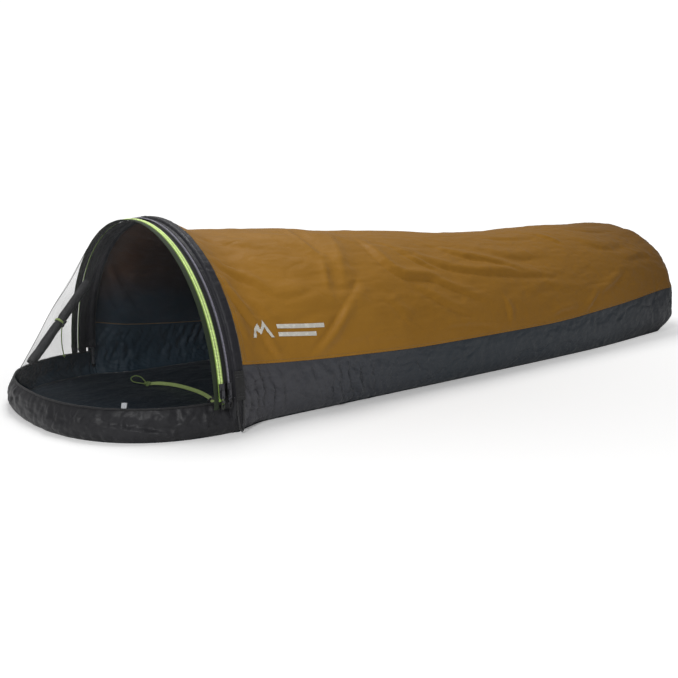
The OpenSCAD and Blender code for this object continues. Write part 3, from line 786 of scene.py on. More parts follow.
def make_canopy():
    uvs = np.stack([CANOPY_U, CANOPY_V], -1)
    top = grid_object("canopy_shell", CANOPY_P[:SEAM_ROW + 1], [CANOPY, CANOPY_IN],
                      uvs=uvs[:SEAM_ROW + 1])
    thicken(subdivide(top), 0.9 * MM, lining=1)
    place(top, "root", "canopy_nylon", "canopy")
    # The foot panel goes on down its flat end to the seam with the tub
    rib = CANOPY_P[-1]
    steps = np.linspace(0, 1, 9)[1:, None, None]
    seam = rib.copy()
    seam[:, 2] = np.minimum(rib[:, 2], Ring(BODY_END).seam)
    end = rib[None] + (seam - rib)[None] * steps
    end[..., 0] -= 5 * MM * steps[..., 0]
    cap = np.concatenate([CANOPY_P[SEAM_ROW:], end])
    foot = grid_object("foot_cap", cap, [CANOPY, CANOPY_IN])
    thicken(subdivide(foot), 0.9 * MM, lining=1)
    place(foot, "root", "canopy_nylon", "foot_panel")
    return top


def surface_line(c, up, lift):
    """Points on the draped canopy along given distances, lifted off it, and its normals there."""
    rows = np.interp(c, CANOPY_C, np.arange(len(CANOPY_C)))
    points, normals = [], []
    for row, u in zip(rows, up):
        i = min(int(row), len(CANOPY_C) - 2)
        t = row - i
        j = np.interp(u, CANOPY_V[i], np.arange(len(CANOPY_F)))
        k = min(int(j), len(CANOPY_F) - 2)
        s = j - k
        blend = lambda g: ((g[i, k] * (1 - t) + g[i + 1, k] * t) * (1 - s)
                           + (g[i, k + 1] * (1 - t) + g[i + 1, k + 1] * t) * s)
        normals.append(blend(CANOPY_N))
        points.append(blend(CANOPY_P) + normals[-1] * lift)
    return np.array(points), np.array(normals)


def make_canopy_trim():
    """Hem along the hoop, its pale tan partly a painted highlight, and rows of stitching, in tan thread."""
    row = int(np.argmin(abs(CANOPY_C - 0.0098)))
    line = CANOPY_P[row] + CANOPY_N[row] * 0.5 * MM
    hem = sweep("canopy_hem", line[1:-1], 2.0 * MM, 0.5 * MM, PAINTED_HIGHLIGHT_PIPING, up=CANOPY_N[row][1:-1], sides=8)
    place(hem, "root", "piping_tape")
    for k, at in enumerate((0.0125, 0.017)):
        row = int(np.argmin(abs(CANOPY_C - at)))
        thread = stitches(f"hoop_stitching_{k + 1}", CANOPY_P[row][1:-1], CANOPY_N[row][1:-1],
                          4.2 * MM, 3.0 * MM, 0.7 * MM, TAN_THREAD, 0.9 * MM)
        place(thread, "root", "piping_tape")
    for side, name in ((1, "near"), (-2, "far")):
        thread = stitches(f"seam_stitching_{name}", CANOPY_P[2:, side], CANOPY_N[2:, side],
                          4.2 * MM, 3.0 * MM, 0.6 * MM, TAN_THREAD, 0.5 * MM)
        place(thread, "root", "piping_tape")
    for k, off in enumerate((-5 * MM, 5 * MM)):
        row = int(np.argmin(abs(CANOPY_C - FOOT_SEAM - off)))
        thread = stitches(f"foot_stitching_{k + 1}", CANOPY_P[row][2:-2], CANOPY_N[row][2:-2],
                          4.2 * MM, 3.0 * MM, 0.6 * MM, TAN_THREAD, 0.5 * MM)
        place(thread, "root", "piping_tape")


# ---------------------------------------------------------------- tub
TUB_ROWS = 38


def tub_path():
    """Columns round the tub, as (ring distance, side): the near side is -1, the far side 1, and the
    flat end goes from one to the other."""
    c = np.concatenate([np.linspace(BODY_FRONT - 2 * MM, 0.55, 150), np.linspace(0.55, ROUND_S, 170)[1:],
                        np.linspace(ROUND_S, BODY_END, 40)[1:]])
    near = [(a, -1.0) for a in c]
    end = [(BODY_END, s) for s in np.linspace(-1, 1, 30)[1:-1]]
    far = [(a, 1.0) for a in c[::-1]]
    return np.array(near + end + far)


def make_tub():
    path = tub_path()
    ring = Ring(path[:, 0][:, None])
    f = np.linspace(0, 1, TUB_ROWS)[None]
    z = FLOOR_T * 0.5 + (ring.seam - FLOOR_T * 0.5) * f ** 1.15
    base = np.stack([ring.x + 0 * z, path[:, 1:] * ring.wall(z), z], -1)
    run = run_of(base[:, TUB_ROWS // 2])
    normal = -grid_normals(base)
    near = (path[:, 1] < 0)[:, None]
    u = path[:, 0][:, None] + 0 * z
    height = 0.65 * fold_height(u, z, TUB_FOLDS)
    height = np.where(near, height, 0.6 * fold_height(u + 0.03, z, TUB_FOLDS))
    height = np.where(path[:, :1] >= BODY_END - 1e-6, 0, height)
    # Short upright gathers, strongest by the hoop and where the side was drawn together
    drawn = (np.exp(-((u - 0.045) / 0.05) ** 2) + 0.85 * np.exp(-((u - 0.29) / 0.10) ** 2) + 0.12
             + 0.5 * np.exp(-((u - 1.68) / 0.06) ** 2))
    lean = flow(run[:, None] / 0.026 + z / 0.06, z / 0.09, 0, 11.0)
    height += TUB_GATHER * drawn * (0.6 - np.abs(lean) ** 0.8 * 2)
    height += TUB_CREASE * (crinkles(base, (0.05, 0.05, 0.05), 31.0) - 0.5) * (0.4 + drawn)
    height += TUB_SWELL * field(base, (0.22, 0.3, 0.09), 13.0, 2)
    at_top = smoothstep(1 - f, 0.0, 0.10)
    at_foot = smoothstep(z, 0.0, 0.012)
    height *= (0.12 + 0.88 * at_top) * (0.25 + 0.75 * at_foot)
    points = base + normal * height[..., None]
    points[..., 2] = np.maximum(points[..., 2], FLOOR_T * 0.5)
    points = drawn_foot(points)
    uvs = np.stack(np.broadcast_arrays(run[:, None], z), -1)
    tub = grid_object("tub_shell", points, [TUB, TUB_IN], uvs=uvs)
    thicken(subdivide(tub), 1.2 * MM, lining=1)
    place(tub, "root", "tub_nylon", "tub_wall")
    # Piping along the seam, its pale tan partly a painted highlight, with a row of stitches under it
    seam = points[:, -1] + normal[:, -1] * 1.5 * MM
    piping = sweep("seam_cord", seam, 1.2 * MM, 1.0 * MM, PAINTED_HIGHLIGHT_PIPING, sides=8)
    place(piping, "root", "piping_tape", "seam_piping")
    row = -3
    thread = stitches("tub_stitching", points[:, row], normal[:, row], 4.4 * MM, 3.0 * MM, 0.6 * MM,
                      DARK_THREAD, 0.3 * MM)
    place(thread, "root", "tub_nylon")


# ---------------------------------------------------------------- head wall, rim and floor
HEAD_POWER = 2.4
HEAD_HALF = 0.330
# Height, and how far the outline is drawn in there at the front and at the sides
HEAD_PROFILE = np.array([[0, 9, 11], [2, 7, 9], [12, 2, 4], [20, 0, 2], [30, 1.2, 4], [42, 4, 8],
                         [52, 9, 12], [60, 15, 17]]) * MM
HEAD_END = 88.2                                # turn at which the wall ends, beside the hoop


def head_points(z, t, inset=0.0):
    """Points round the head end at height z and turn t in degrees, from the near side to the far."""
    t = np.radians(t)
    a = HEAD_LEN - hermite(z, HEAD_PROFILE[:, 0], HEAD_PROFILE[:, 1]) - inset
    b = HEAD_HALF - hermite(z, HEAD_PROFILE[:, 0], HEAD_PROFILE[:, 2]) - inset
    x = HOOP_X - a * np.abs(np.cos(t)) ** (2 / HEAD_POWER)
    y = b * np.sign(np.sin(t)) * np.abs(np.sin(t)) ** (2 / HEAD_POWER)
    return np.stack(np.broadcast_arrays(x, y, z), -1)


# Folds of the head wall: points (turn in degrees, height in millimetres), width and depth
HEAD_FOLDS = [
    ([(-74, 10), (-62, 24), (-50, 33), (-38, 38)], 7, -3.6), ([(-84, 50), (-80, 30), (-81, 8)], 5, 3.0),
    ([(-76, 54), (-73, 38), (-70, 26)], 5, 2.4), ([(-52, 56), (-49, 44), (-50, 32)], 5, 2.0),
    ([(-33, 56), (-30, 42), (-31, 28)], 6, 2.2), ([(-14, 55), (-16, 36), (-12, 16)], 7, 2.2),
    ([(6, 52), (12, 34), (10, 16)], 8, 2.2), ([(32, 55), (36, 38), (33, 20)], 6, 2.4),
    ([(60, 54), (63, 36), (60, 12)], 6, 2.6), ([(79, 50), (82, 30), (80, 10)], 5, 3.0),
]


def make_head():
    turns = np.sign(np.linspace(-1, 1, 221)) * HEAD_END * np.abs(np.linspace(-1, 1, 221)) ** 0.8
    rows = np.linspace(FLOOR_T * 0.5, RIM_Z, 22)
    t, z = np.meshgrid(turns, rows, indexing="ij")
    base = head_points(z, t)
    normal = grid_normals(base)
    middle = len(turns) // 2
    if normal[middle, 10, 0] > 0:
        normal = -normal
    run = run_of(base[:, 8])
    per_degree = run[-1] / (2 * HEAD_END)
    folds = [([(a * per_degree / MM, b) for a, b in line], w, d) for line, w, d in HEAD_FOLDS]
    height = fold_height(t * per_degree, z, folds)
    pleats = flow(run[:, None] / 0.024, z / 0.06, 0, 17.0)
    height += HEAD_PLEAT * (0.5 - np.abs(pleats) ** 0.8 * 2)
    height += HEAD_CREASE * (crinkles(base, (0.05, 0.05, 0.03), 41.0) - 0.5)
    height += HEAD_SWELL * field(base, (0.2, 0.2, 0.08), 19.0, 2)
    height *= smoothstep(z, -0.004, 0.010) * (0.35 + 0.65 * smoothstep(RIM_Z - z, 0, 0.012))
    points = base + normal * height[..., None]
    points[..., 0] = np.maximum(points[..., 0], CAD_BOX[0].x - 6 * MM)
    uvs = np.stack(np.broadcast_arrays(run[:, None], z), -1)
    wall = grid_object("head_shell", points, [HEAD, TUB_IN], uvs=uvs, flip=True)
    thicken(subdivide(wall), 1.4 * MM, lining=1)
    place(wall, "root", "tub_nylon", "head_wall")
    rim = points[:, -1] + np.array([0, 0, 1.2 * MM])
    wave = 0.3 * MM * field(rim, 0.02, 23.0, 2)
    rim[:, 2] += wave
    binding = sweep("rim_tape", rim, 2.2 * MM, 2.0 * MM, BINDING, sides=12, power=2.6)
    place(binding, "root", "binding_tape", "rim_binding")
    outward = normal[:, -1] + np.array([0, 0, 0.6])
    thread = stitches("rim_stitching", rim + outward * 1.7 * MM, outward, 3.6 * MM, 2.4 * MM, 0.6 * MM,
                      DARK_THREAD)
    place(thread, "root", "binding_tape")


# The strap's route from the near corner: (x from the hoop, y, z) in millimetres. The floor is kept
# flat under it.
STRAP = [(-40, -298, 58), (-36, -292, 38), (-28, -280, 16), (-14, -262, 5.4), (8, -232, 4), (34, -190, 4),
         (58, -142, 4), (78, -90, 4), (88, -34, 4), (88, 20, 4), (80, 70, 4), (62, 106, 4), (42, 120, 4)]
STRAP_PATH = curve_points([(HOOP_X + x * MM, y * MM, z * MM) for x, y, z in STRAP], 120)


def make_floor():
    """The floor: a sheet over the whole footprint, with soft undulations on its upper side."""
    back = np.concatenate([np.linspace(0, ROUND_S, 130), np.linspace(ROUND_S, BODY_END, 14)[1:]])
    ring = Ring(back)
    body_half = ring.wall(np.full(len(back), FLOOR_T)) - 1 * MM
    turns = np.linspace(2, HEAD_END, 26)
    head = head_points(np.full(len(turns), FLOOR_T), turns, 1 * MM)
    x = np.concatenate([head[:, 0], ring.x + 1e-4])
    half = np.concatenate([head[:, 1], body_half])
    order = np.argsort(x)
    x, half = x[order], half[order]
    across = np.linspace(-1, 1, 61)
    grid = np.stack([x[:, None] + 0 * across, half[:, None] * across, 0 * across + 0 * x[:, None]], -1)
    wave = 0.5 + 0.5 * field(grid, (0.16, 0.10, 1), 51.0, 3)
    wave = np.clip(wave, 0, 1) ** 1.5
    flat = grid[:, :, None, :2] - STRAP_PATH[None, None, ::4, :2]
    clear = smoothstep(np.linalg.norm(flat, axis=3).min(2), 0.015, 0.07)
    edge = smoothstep(1 - np.abs(across), 0.0, 0.12)[None]
    grid[..., 2] = 1.2 * MM + 9 * MM * wave * clear * edge
    grid = drawn_foot(grid)
    sheet = grid_object("floor_sheet", grid, [FLOOR, TUB])
    thicken(sheet, 1.1 * MM, lining=1)
    place(sheet, "root", "floor_nylon", "floor_panel")


# ---------------------------------------------------------------- sleeve, corners and loops
def arch_grid(name, profile, low, high, steps, material, displace=None):
    """A closed profile of (x, radius) points carried along the hoop from one angle to another."""
    profile = np.asarray(profile, float)
    count = len(profile)
    a = np.radians(np.linspace(low, high, steps))[:, None]
    x, r = profile[None, :, 0] + 0 * a, profile[None, :, 1] + 0 * a
    run = a * POLE_R
    if displace is not None:
        r = r + displace(run, x, r)
    points = np.stack([HOOP_X + x, -r * np.cos(a), HOOP_Z + r * np.sin(a)], -1)
    uvs = np.stack(np.broadcast_arrays(run, run_of(profile)[None]), -1)
    faces = grid_faces(steps, count, around=True)
    faces += [tuple(range(count - 1, -1, -1)), tuple(range((steps - 1) * count, steps * count))]
    return mesh_object(name, points.reshape(-1, 3), faces, material, uvs.reshape(-1, 2))


def flat_profile(x, wide, r, thick):
    """A rounded strip's outline: x from x to x + wide, radius from r to r + thick."""
    cut = min(thick, wide) * 0.3
    return [(x + cut, r), (x + wide - cut, r), (x + wide, r + cut), (x + wide, r + thick - cut),
            (x + wide - cut, r + thick), (x + wide / 2, r + thick), (x + cut, r + thick),
            (x, r + thick - cut), (x, r + cut)]


def make_sleeve():
    tube_x, tube_r = -4 * MM, 7 * MM
    over = [(tube_x + tube_r * math.cos(t), POLE_R + tube_r * math.sin(t))
            for t in np.radians(np.linspace(58, 166, 12))]
    under = [(tube_x + tube_r * math.cos(t), POLE_R + tube_r * math.sin(t))
             for t in np.radians(np.linspace(194, 346, 13))]
    hem = [(8.4, 5.6), (7.6, 6.2), (4, 6.7)]
    flange = [(-13, 1.5), (-16.5, 1.4), (-20, 1.3), (-20, -1.3), (-16, -1.4)]
    hem_back = [(4.6, 1), (6.5, 4), (8, 5)]
    hem, flange, hem_back = ([(x * MM, POLE_R + r * MM) for x, r in part] for part in (hem, flange, hem_back))
    profile = hem + over + flange + under + hem_back

    def pucker(run, x, r):
        short = flow(run / 0.011, x / 0.022, 0, 61.0)
        long = flow(run / 0.05, x / 0.03, 5, 62.0)
        strength = 0.35 + 0.65 * smoothstep(np.abs(r - POLE_R), 1.6 * MM, 4 * MM)
        return np.sign(r - POLE_R) * strength * (0.75 * MM * short + 0.6 * MM * long - 0.35 * MM)

    sleeve = arch_grid("sleeve_tube", profile, 1.2, 178.8, 620, SLEEVE, pucker)
    place(sleeve, "root", "sleeve_nylon", "hoop_sleeve")
    angles = np.linspace(2, 178, 500)
    for k, x in enumerate((-17.5 * MM, -13.5 * MM)):
        line = np.array([on_hoop(x, POLE_R + 1.5 * MM, a) for a in angles])
        out = line - np.array([0, 0, HOOP_Z])
        out[:, 0] = 0
        thread = stitches(f"sleeve_stitching_{k + 1}", line, out, 4.0 * MM, 2.8 * MM, 0.6 * MM, DARK_THREAD,
                          0.3 * MM)
        place(thread, "root", "sleeve_nylon")


def make_pocket(side, name):
    """The tub's corner under the hoop, which holds the pole's end."""
    rows, cols = 40, 30
    f, g = np.meshgrid(np.linspace(0, 1, rows), np.linspace(0, 1, cols), indexing="ij")
    x = -20 * MM + 26.5 * MM * f
    z = FLOOR_T * 0.5 + (HOOP_Z + 3 * MM + 6 * MM * (1 - smoothstep(f, 0.3, 0.5))) * g
    front = head_points(np.clip(z, 0, RIM_Z), 86.0)[..., 1]
    ring = Ring(np.full_like(z, BODY_FRONT))
    y = front + (ring.wall(np.minimum(z, HOOP_Z)) - front) * smoothstep(f, -0.1, 0.3)
    y += 2.0 * MM * np.sin(np.pi * f) * np.sin(np.pi * np.clip(g, 0, 0.9))
    base = np.stack([HOOP_X + x, side * y, z], -1)
    normal = grid_normals(base) * 1.0
    if normal[20, 15, 1] * side < 0:
        normal = -normal
    pleats = flow(x / 0.006, z / 0.07, side, 71.0)
    creases = crinkles(base, (0.02, 0.02, 0.03), 73.0 + side) - 0.5
    points = base + normal * (1.3 * MM * pleats + 1.2 * MM * creases)[..., None]
    points[..., 1] = np.clip(points[..., 1], CAD_BOX[0].y - 4 * MM, CAD_BOX[1].y + 4 * MM)
    patch = grid_object(f"corner_{name}", points, [HEAD, TUB_IN], flip=side > 0)
    thicken(subdivide(patch), 1.4 * MM, lining=1)
    place(patch, "root", "tub_nylon", f"pole_pocket_{name}")


# A stake cord's loop: (distance along the bag, height) in millimetres
STAKE_LOOP = [(-9, 64), (-8, 44), (-6, 26), (-4, 13), (-2.5, 7), (0, 4.5), (2.5, 7), (4, 13), (5, 26),
              (5.5, 44), (5, 64)]


def make_corner_tab(side, name):
    """Webbing patch over the corner, bar-tacked, with its cord loop."""
    low, high = (0.5, 10) if side < 0 else (170, 179.5)
    outline = flat_profile(-13 * MM, 20 * MM, HOOP_R + 0.3 * MM, 1.8 * MM)
    tab = arch_grid(f"corner_patch_{name}", outline, low, high, 40, BLACK_WEB,
                    lambda run, x, r: 0.25 * MM * np.sin(run / 0.004))
    place(tab, "root", "black_webbing", f"corner_tab_{name}")
    places = []
    for a in (low + 1.2, low + 2.0, high - 2.0, high - 1.2):
        for k in range(11):
            places.append(hoop_basis((-12 + 1.7 * k) * MM, HOOP_R + 2.3 * MM, a + 0.15 * (k % 2)))
    tacks = copies(f"bar_tacks_{name}", bead_shape(1.9 * MM, 0.8 * MM, 0.7 * MM, 6, 3), places, DARK_THREAD)
    place(tacks, "root", "black_webbing")
    y = side * (HOOP_R + 1.6 * MM)
    route = curve_points([(HOOP_X + (x - 2) * MM, y, z * MM) for x, z in STAKE_LOOP], 60)
    loop = sweep(f"stake_cord_{name}", route, 1.4 * MM, 1.4 * MM, BLACK_CORD, up=(0, 1, 0), sides=12)
    place(loop, "root", "black_cord", f"stake_loop_{name}")


def make_foot_loop():
    lo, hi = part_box("stake_loop_foot")
    middle = (lo + hi) / 2
    half_y, half_z = (hi.y - lo.y) / 2 - 3 * MM, (hi.z - lo.z) / 2 - 3 * MM
    turn = np.linspace(0, 2 * math.pi, 72, endpoint=False)
    c, s = np.cos(turn), np.sin(turn)
    path = np.stack([middle.x + 0 * c, middle.y + half_y * np.sign(c) * abs(c) ** 0.6,
                     middle.z + half_z * np.sign(s) * abs(s) ** 0.6], 1)
    path = drawn_foot(path)
    loop = sweep("foot_loop", path, 2.9 * MM, 1.1 * MM, BLACK_WEB, up=(1, 0, 0), sides=12, power=4,
                 closed=True)
    place(loop, "root", "black_webbing", "stake_loop_foot")


# ---------------------------------------------------------------- zips and tapes
def zip_chain(name, x, wide, r, thick, low, high, coil, tape, reach):
    """A coil zip's half: a tape along the hoop with one bead for each turn of the coil.
    reach is how far the beads stretch past the tape, towards the other half, with its sign."""
    pitch = 2.6 * MM
    base = arch_grid(name + "_tape", flat_profile(x, wide, r, thick * 0.45), low - 1.3, high + 1.3, 300, tape)
    count = int(math.radians(high - low) * r / pitch)
    places = []
    for k in range(count):
        a = low + (high - low) * (k + 0.5) / count
        middle = x + (wide + reach) / 2 + math.copysign(wide * 0.12, reach)
        places.append(hoop_basis(middle, r + thick * 0.55, a))
    bead = bead_shape(wide * 0.76 + abs(reach), pitch * 0.98, thick * 0.85)
    return base, copies(name + "_coil", bead, places, coil)


def make_zips():
    hoop_x, wide, gap, thick = -39.5 * MM, 5 * MM, 1.8 * MM, 2.6 * MM
    low, high = ZIP_START, 180 - ZIP_START
    reach = gap / 2
    hoop = zip_chain("net_zip_hoop", hoop_x, wide, POLE_R, thick, low, high, LIME_COIL, LIME_TAPE, -reach)
    for piece in hoop:
        place(piece, "root", "lime_zip", "net_zip_hoop_chain")
    door = zip_chain("net_zip_door", hoop_x - gap - wide, wide, POLE_R, thick, DOOR_LOW, 180 - DOOR_LOW,
                     LIME_COIL, LIME_TAPE, reach)
    for piece in door:
        place(piece, "net_arch", "lime_zip", "net_zip_door_chain")
    for piece in zip_chain("storm_zip", -26.5 * MM, 4.5 * MM, POLE_R + 2 * MM, 2.4 * MM, low, high,
                           GREY_COIL, GREY_TAPE, 0.2 * MM):
        place(piece, "root", "grey_zip", "storm_zip_chain")
    # Black tape behind the zips, on each side of the opening
    outline = flat_profile(-39.3 * MM, 19 * MM, POLE_R - 3 * MM, 1.3 * MM)
    facing = arch_grid("facing_band", outline, low - 3.2, 183.2 - low, 300, FACING)
    place(facing, "root", "binding_tape", "zip_facing_tape")
    outline = flat_profile(hoop_x - gap - wide - 2 * MM, 6.6 * MM, POLE_R - 1.6 * MM, 1 * MM)
    backing = arch_grid("door_zip_backing", outline, -0.3, 180.3, 300, FACING)
    place(backing, "net_arch", "binding_tape")
    foot = DOOR_LOW - 3.8
    outline = flat_profile(-56.3 * MM, 10 * MM, POLE_R - 0.2 * MM, 1.1 * MM)
    edge = arch_grid("edge_band", outline, foot, 180 - foot, 300, EDGE_TAPE,
                     lambda run, x, r: 0.35 * MM * flow(run / 0.03, x / 0.02, 0, 81.0))
    place(edge, "net_arch", "net_tape", "net_edge_tape")


# ---------------------------------------------------------------- net
NET_TURN = 81.5                                # turn round the rim at which the net ends
ARCH_TURN = 87.4                               # its angle there from the arch's top
NET_SEAMS = (-NET_TURN, -60, -36, -12, 12, 36, 60, NET_TURN)
NET_TAPED = (-NET_TURN, 36, NET_TURN)          # the seams that have a tape
NET_TOP_X = -56.9 * MM
NET_INSET = 4 * MM


def net_edge_points(t):
    """The net's lower edge on the rim and its upper edge on the arch, at turn t."""
    low = head_points(np.full_like(t, RIM_Z), t, NET_INSET) + np.array([0, 0, 4 * MM])
    a = np.radians(90 + t / NET_TURN * ARCH_TURN)
    high = np.stack([HOOP_X + NET_TOP_X + 0 * a, -POLE_R * np.cos(a), HOOP_Z + POLE_R * np.sin(a)], -1)
    return low, high


def make_net():
    """Seven gores of net between the rim and the arched edge, with tapes along three seams."""
    for k, (start, end) in enumerate(zip(NET_SEAMS[:-1], NET_SEAMS[1:])):
        t = np.linspace(start, end, 25)
        low, high = net_edge_points(t)
        v = np.linspace(0, 1, 41)[None, :, None]
        base = low[:, None] + (high - low)[:, None] * v
        normal = grid_normals(base)
        if normal[12, 20] @ np.array([-1, 0, 0.5]) < 0:
            normal = -normal
        hold = (np.sin(np.pi * v[..., 0]) ** 0.7)
        tt = t[:, None] + 0 * v[..., 0]
        vv = v[..., 0] + 0 * tt
        soft = flow(tt / 22, vv * 1.6, 0, 91.0)
        drapes = flow(tt / 6.5 + vv * 1.4, vv * 0.8, 3, 92.0)
        height = hold * (5.0 * MM * soft + 2.6 * MM * drapes * smoothstep(vv, 0.1, 0.9))
        points = base + normal * height[..., None]
        gore = grid_object(f"net_gore_{k + 1}", points, NET)
        # A linear weight that is 0 at the gore's rim corners and 1 at its arch corners
        corners = np.array([low[0], low[-1], high[0], high[-1]])
        system = np.column_stack([corners, np.ones(4)])
        *slope, offset = np.linalg.lstsq(system, np.array([0, 0, 1, 1]), rcond=1e-3)[0]
        slope = np.array(slope)
        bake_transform(gore)
        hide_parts("net_panel")
        for end_row, seam in ((0, start), (-1, end)):
            if seam in NET_TAPED and not (end_row == 0 and seam != NET_TAPED[0]):
                tape = sweep(f"net_seam_{NET_TAPED.index(seam) + 1}", points[end_row], 2.6 * MM, 0.6 * MM,
                             NET_SEAM, up=normal[end_row], sides=8, power=3)
                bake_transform(tape)


# ---------------------------------------------------------------- rolled storm door
# The rolled door and the tail of its tie: (x from the hoop, y, z) in millimetres
ROLL = [(-46, 236, 242), (-88, 223, 199), (-131, 209, 156), (-174, 193, 114), (-211, 175, 82)]
ROLL_R = 12 * MM
TAIL = [(-131.5, 189.5, 148.5), (-133, 189, 138), (-134, 189, 126), (-134, 189, 114), (-133, 190, 102),
        (-131, 190, 90), (-129, 190, 80)]


def from_hoop(points):
    """Points in the shared frame, from (x from the hoop, y, z) in millimetres."""
    return [(HOOP_X + x * MM, y * MM, z * MM) for x, y, z in points]


def make_roll():
    """The storm door, rolled up tight: a spiral of cloth with its free edge along the outside."""
    path = curve_points(from_hoop(ROLL), 150)
    tangent, side, lift = path_frames(path, (0, 1, 0))
    turns = 3.2
    steps = 150
    turn = np.linspace(0, 2 * math.pi * turns, steps)
    radius = ROLL_R * (0.28 + 0.66 * turn / turn[-1])
    run = np.linspace(0, 1, len(path))
    rise, fall = (np.sin(np.pi * np.clip(from_end * 6, 0, 0.5)) for from_end in (run, 1 - run))
    ends = 0.80 + 0.20 * rise * fall
    tied = 1 - 0.16 * np.exp(-((run - 0.5) / 0.03) ** 2)
    twist = 0.9 * run
    crease = 1 + 0.09 * flow(run[:, None] * 9, np.cos(turn)[None] * 1.1, np.sin(turn)[None] * 1.1, 101.0, 3)
    a = turn[None] + twist[:, None]
    r = radius[None] * ends[:, None] * tied[:, None] * crease
    rings = (path[:, None] + r[..., None] * np.cos(a)[..., None] * side[:, None]
             + r[..., None] * np.sin(a)[..., None] * lift[:, None])
    roll = grid_object("door_roll", rings, ROLL_CLOTH)
    thicken(roll, 0.5 * MM, offset=0)
    place(roll, "root", "storm_door_nylon", "storm_door_roll")
    middle = len(path) // 2
    centre = Vector(path[middle])
    axes = basis(centre, Vector(side[middle]), Vector(lift[middle]), Vector(tangent[middle]))
    ring_turn = np.linspace(0, 2 * math.pi, 60, endpoint=False)
    band_r = ROLL_R * 0.86
    circle = np.array([axes @ Vector((band_r * math.cos(t), band_r * math.sin(t), 0)) for t in ring_turn])
    band = sweep("roll_band", circle, 2.5 * MM, 0.7 * MM, LIME_WEB, up=circle - np.array(centre), sides=12,
                 power=3.5, closed=True)
    place(band, "root", "lime_elastic", "door_band")


def lathe(name, profile, axes, material):
    """A turned shape: (distance along Z, radius) points round the axes' Z."""
    sides = 28
    turn = np.linspace(0, 2 * math.pi, sides, endpoint=False)
    points = [axes @ Vector((r * math.cos(t), r * math.sin(t), z)) for z, r in profile for t in turn]
    faces = grid_faces(len(profile), sides, around=True)
    faces += [tuple(range(sides)), tuple(range(len(points) - 1, len(points) - sides - 1, -1))]
    return mesh_object(name, points, faces, material)


def make_toggle():
    lo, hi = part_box("door_toggle")
    centre = (lo + hi) / 2
    along = Matrix.Rotation(math.radians(18), 4, "Z") @ Matrix.Rotation(math.radians(44), 4, "Y")
    axes = Matrix.Translation(centre) @ along
    profile = [(-9, 0.6), (-8.8, 2.0), (-8, 2.8), (-6.5, 3.0), (-2.4, 2.9), (-1.4, 2.2), (1.4, 2.2),
               (2.4, 2.9), (6.5, 3.0), (8, 2.8), (8.8, 2.0), (9, 0.6)]
    toggle = lathe("roll_toggle", [(z * MM, r * MM) for z, r in profile], axes, BLACK_PLASTIC)
    place(toggle, "root", "black_plastic", "door_toggle")
    path = curve_points(from_hoop(TAIL), 48)
    tail = sweep("roll_tail", path, 1.2 * MM, 1.2 * MM, LIME_CORD, up=(0, 1, 0), sides=12)
    place(tail, "root", "lime_cord", "door_toggle_cord")
    knot = knot_piece("roll_tail_knot", Vector(path[-4]), 3.0 * MM, 1.1 * MM, LIME_CORD)
    place(knot, "root", "lime_cord")


def knot_piece(name, at, size, thread, material):
    """An overhand knot: a trefoil of cord."""
    t = np.linspace(0, 2 * math.pi, 90, endpoint=False)
    x = np.sin(t) + 2 * np.sin(2 * t)
    y = np.cos(t) - 2 * np.cos(2 * t)
    z = -np.sin(3 * t)
    path = np.stack([x, 0.8 * y, z], 1) * size / 3 + np.array(at)
    return sweep(name, path, thread, thread, material, up=(0.1, 0.2, 1), sides=8, closed=True)


def make_strap():
    path = STRAP_PATH
    # It lies on its edge, so that its face is turned up towards the head end
    lift = 2.6 * MM * smoothstep(np.linspace(0, 1, len(path)), 0, 0.12)
    raised = path + lift[:, None] * np.array([0, 0, 1])
    strap = sweep("corner_strap", raised, 4.5 * MM, 0.8 * MM, LIME_WEB, up=(-0.75, -0.2, 0.62), sides=14,
                  power=4)
    place(strap, "root", "lime_webbing", "tie_strap")
    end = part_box("tie_strap_bead")
    centre = (end[0] + end[1]) / 2
    bead = knot_piece("strap_knot", centre, 8.5 * MM, 1.9 * MM, LIME_CORD)
    place(bead, "root", "lime_cord", "tie_strap_bead")
    bight = [(0, 0, 0), (-6, 6, 8), (-10, 14, 15), (-18, 26, 17), (-26, 32, 12), (-24, 26, 4), (-12, 12, 1),
             (-2, 2, 0)]
    loop_path = curve_points([tuple(centre + Vector(p) * MM) for p in bight], 60)
    loop = sweep("strap_loop", loop_path, 1.2 * MM, 1.2 * MM, LIME_CORD, sides=10)
    place(loop, "root", "lime_cord")


def make_rim_tab():
    """A short loop of white tape, folded over and sewn on the rim in front of the net."""
    lo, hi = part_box("rim_tab")
    centre = (lo + hi) / 2
    turned = Matrix.Rotation(math.radians(-43), 3, "Z") @ Matrix.Rotation(math.radians(-31), 3, "X")
    profile = [(-1.0, -5.5), (-1.2, 0), (-1.4, 3.2), (-0.9, 4.9), (0, 5.6), (0.9, 4.9), (1.4, 3.2), (1.2, 0),
               (1.0, -5.5)]
    rows = []
    for s in np.linspace(-5, 5, 8):
        rows.append([tuple(centre + turned @ (Vector((s, a, b)) * MM)) for a, b in profile])
    tab = grid_object("white_tab", np.array(rows), WHITE_TAPE)
    thicken(subdivide(tab), 0.5 * MM, offset=0)
    place(tab, "root", "white_tape", "rim_tab")


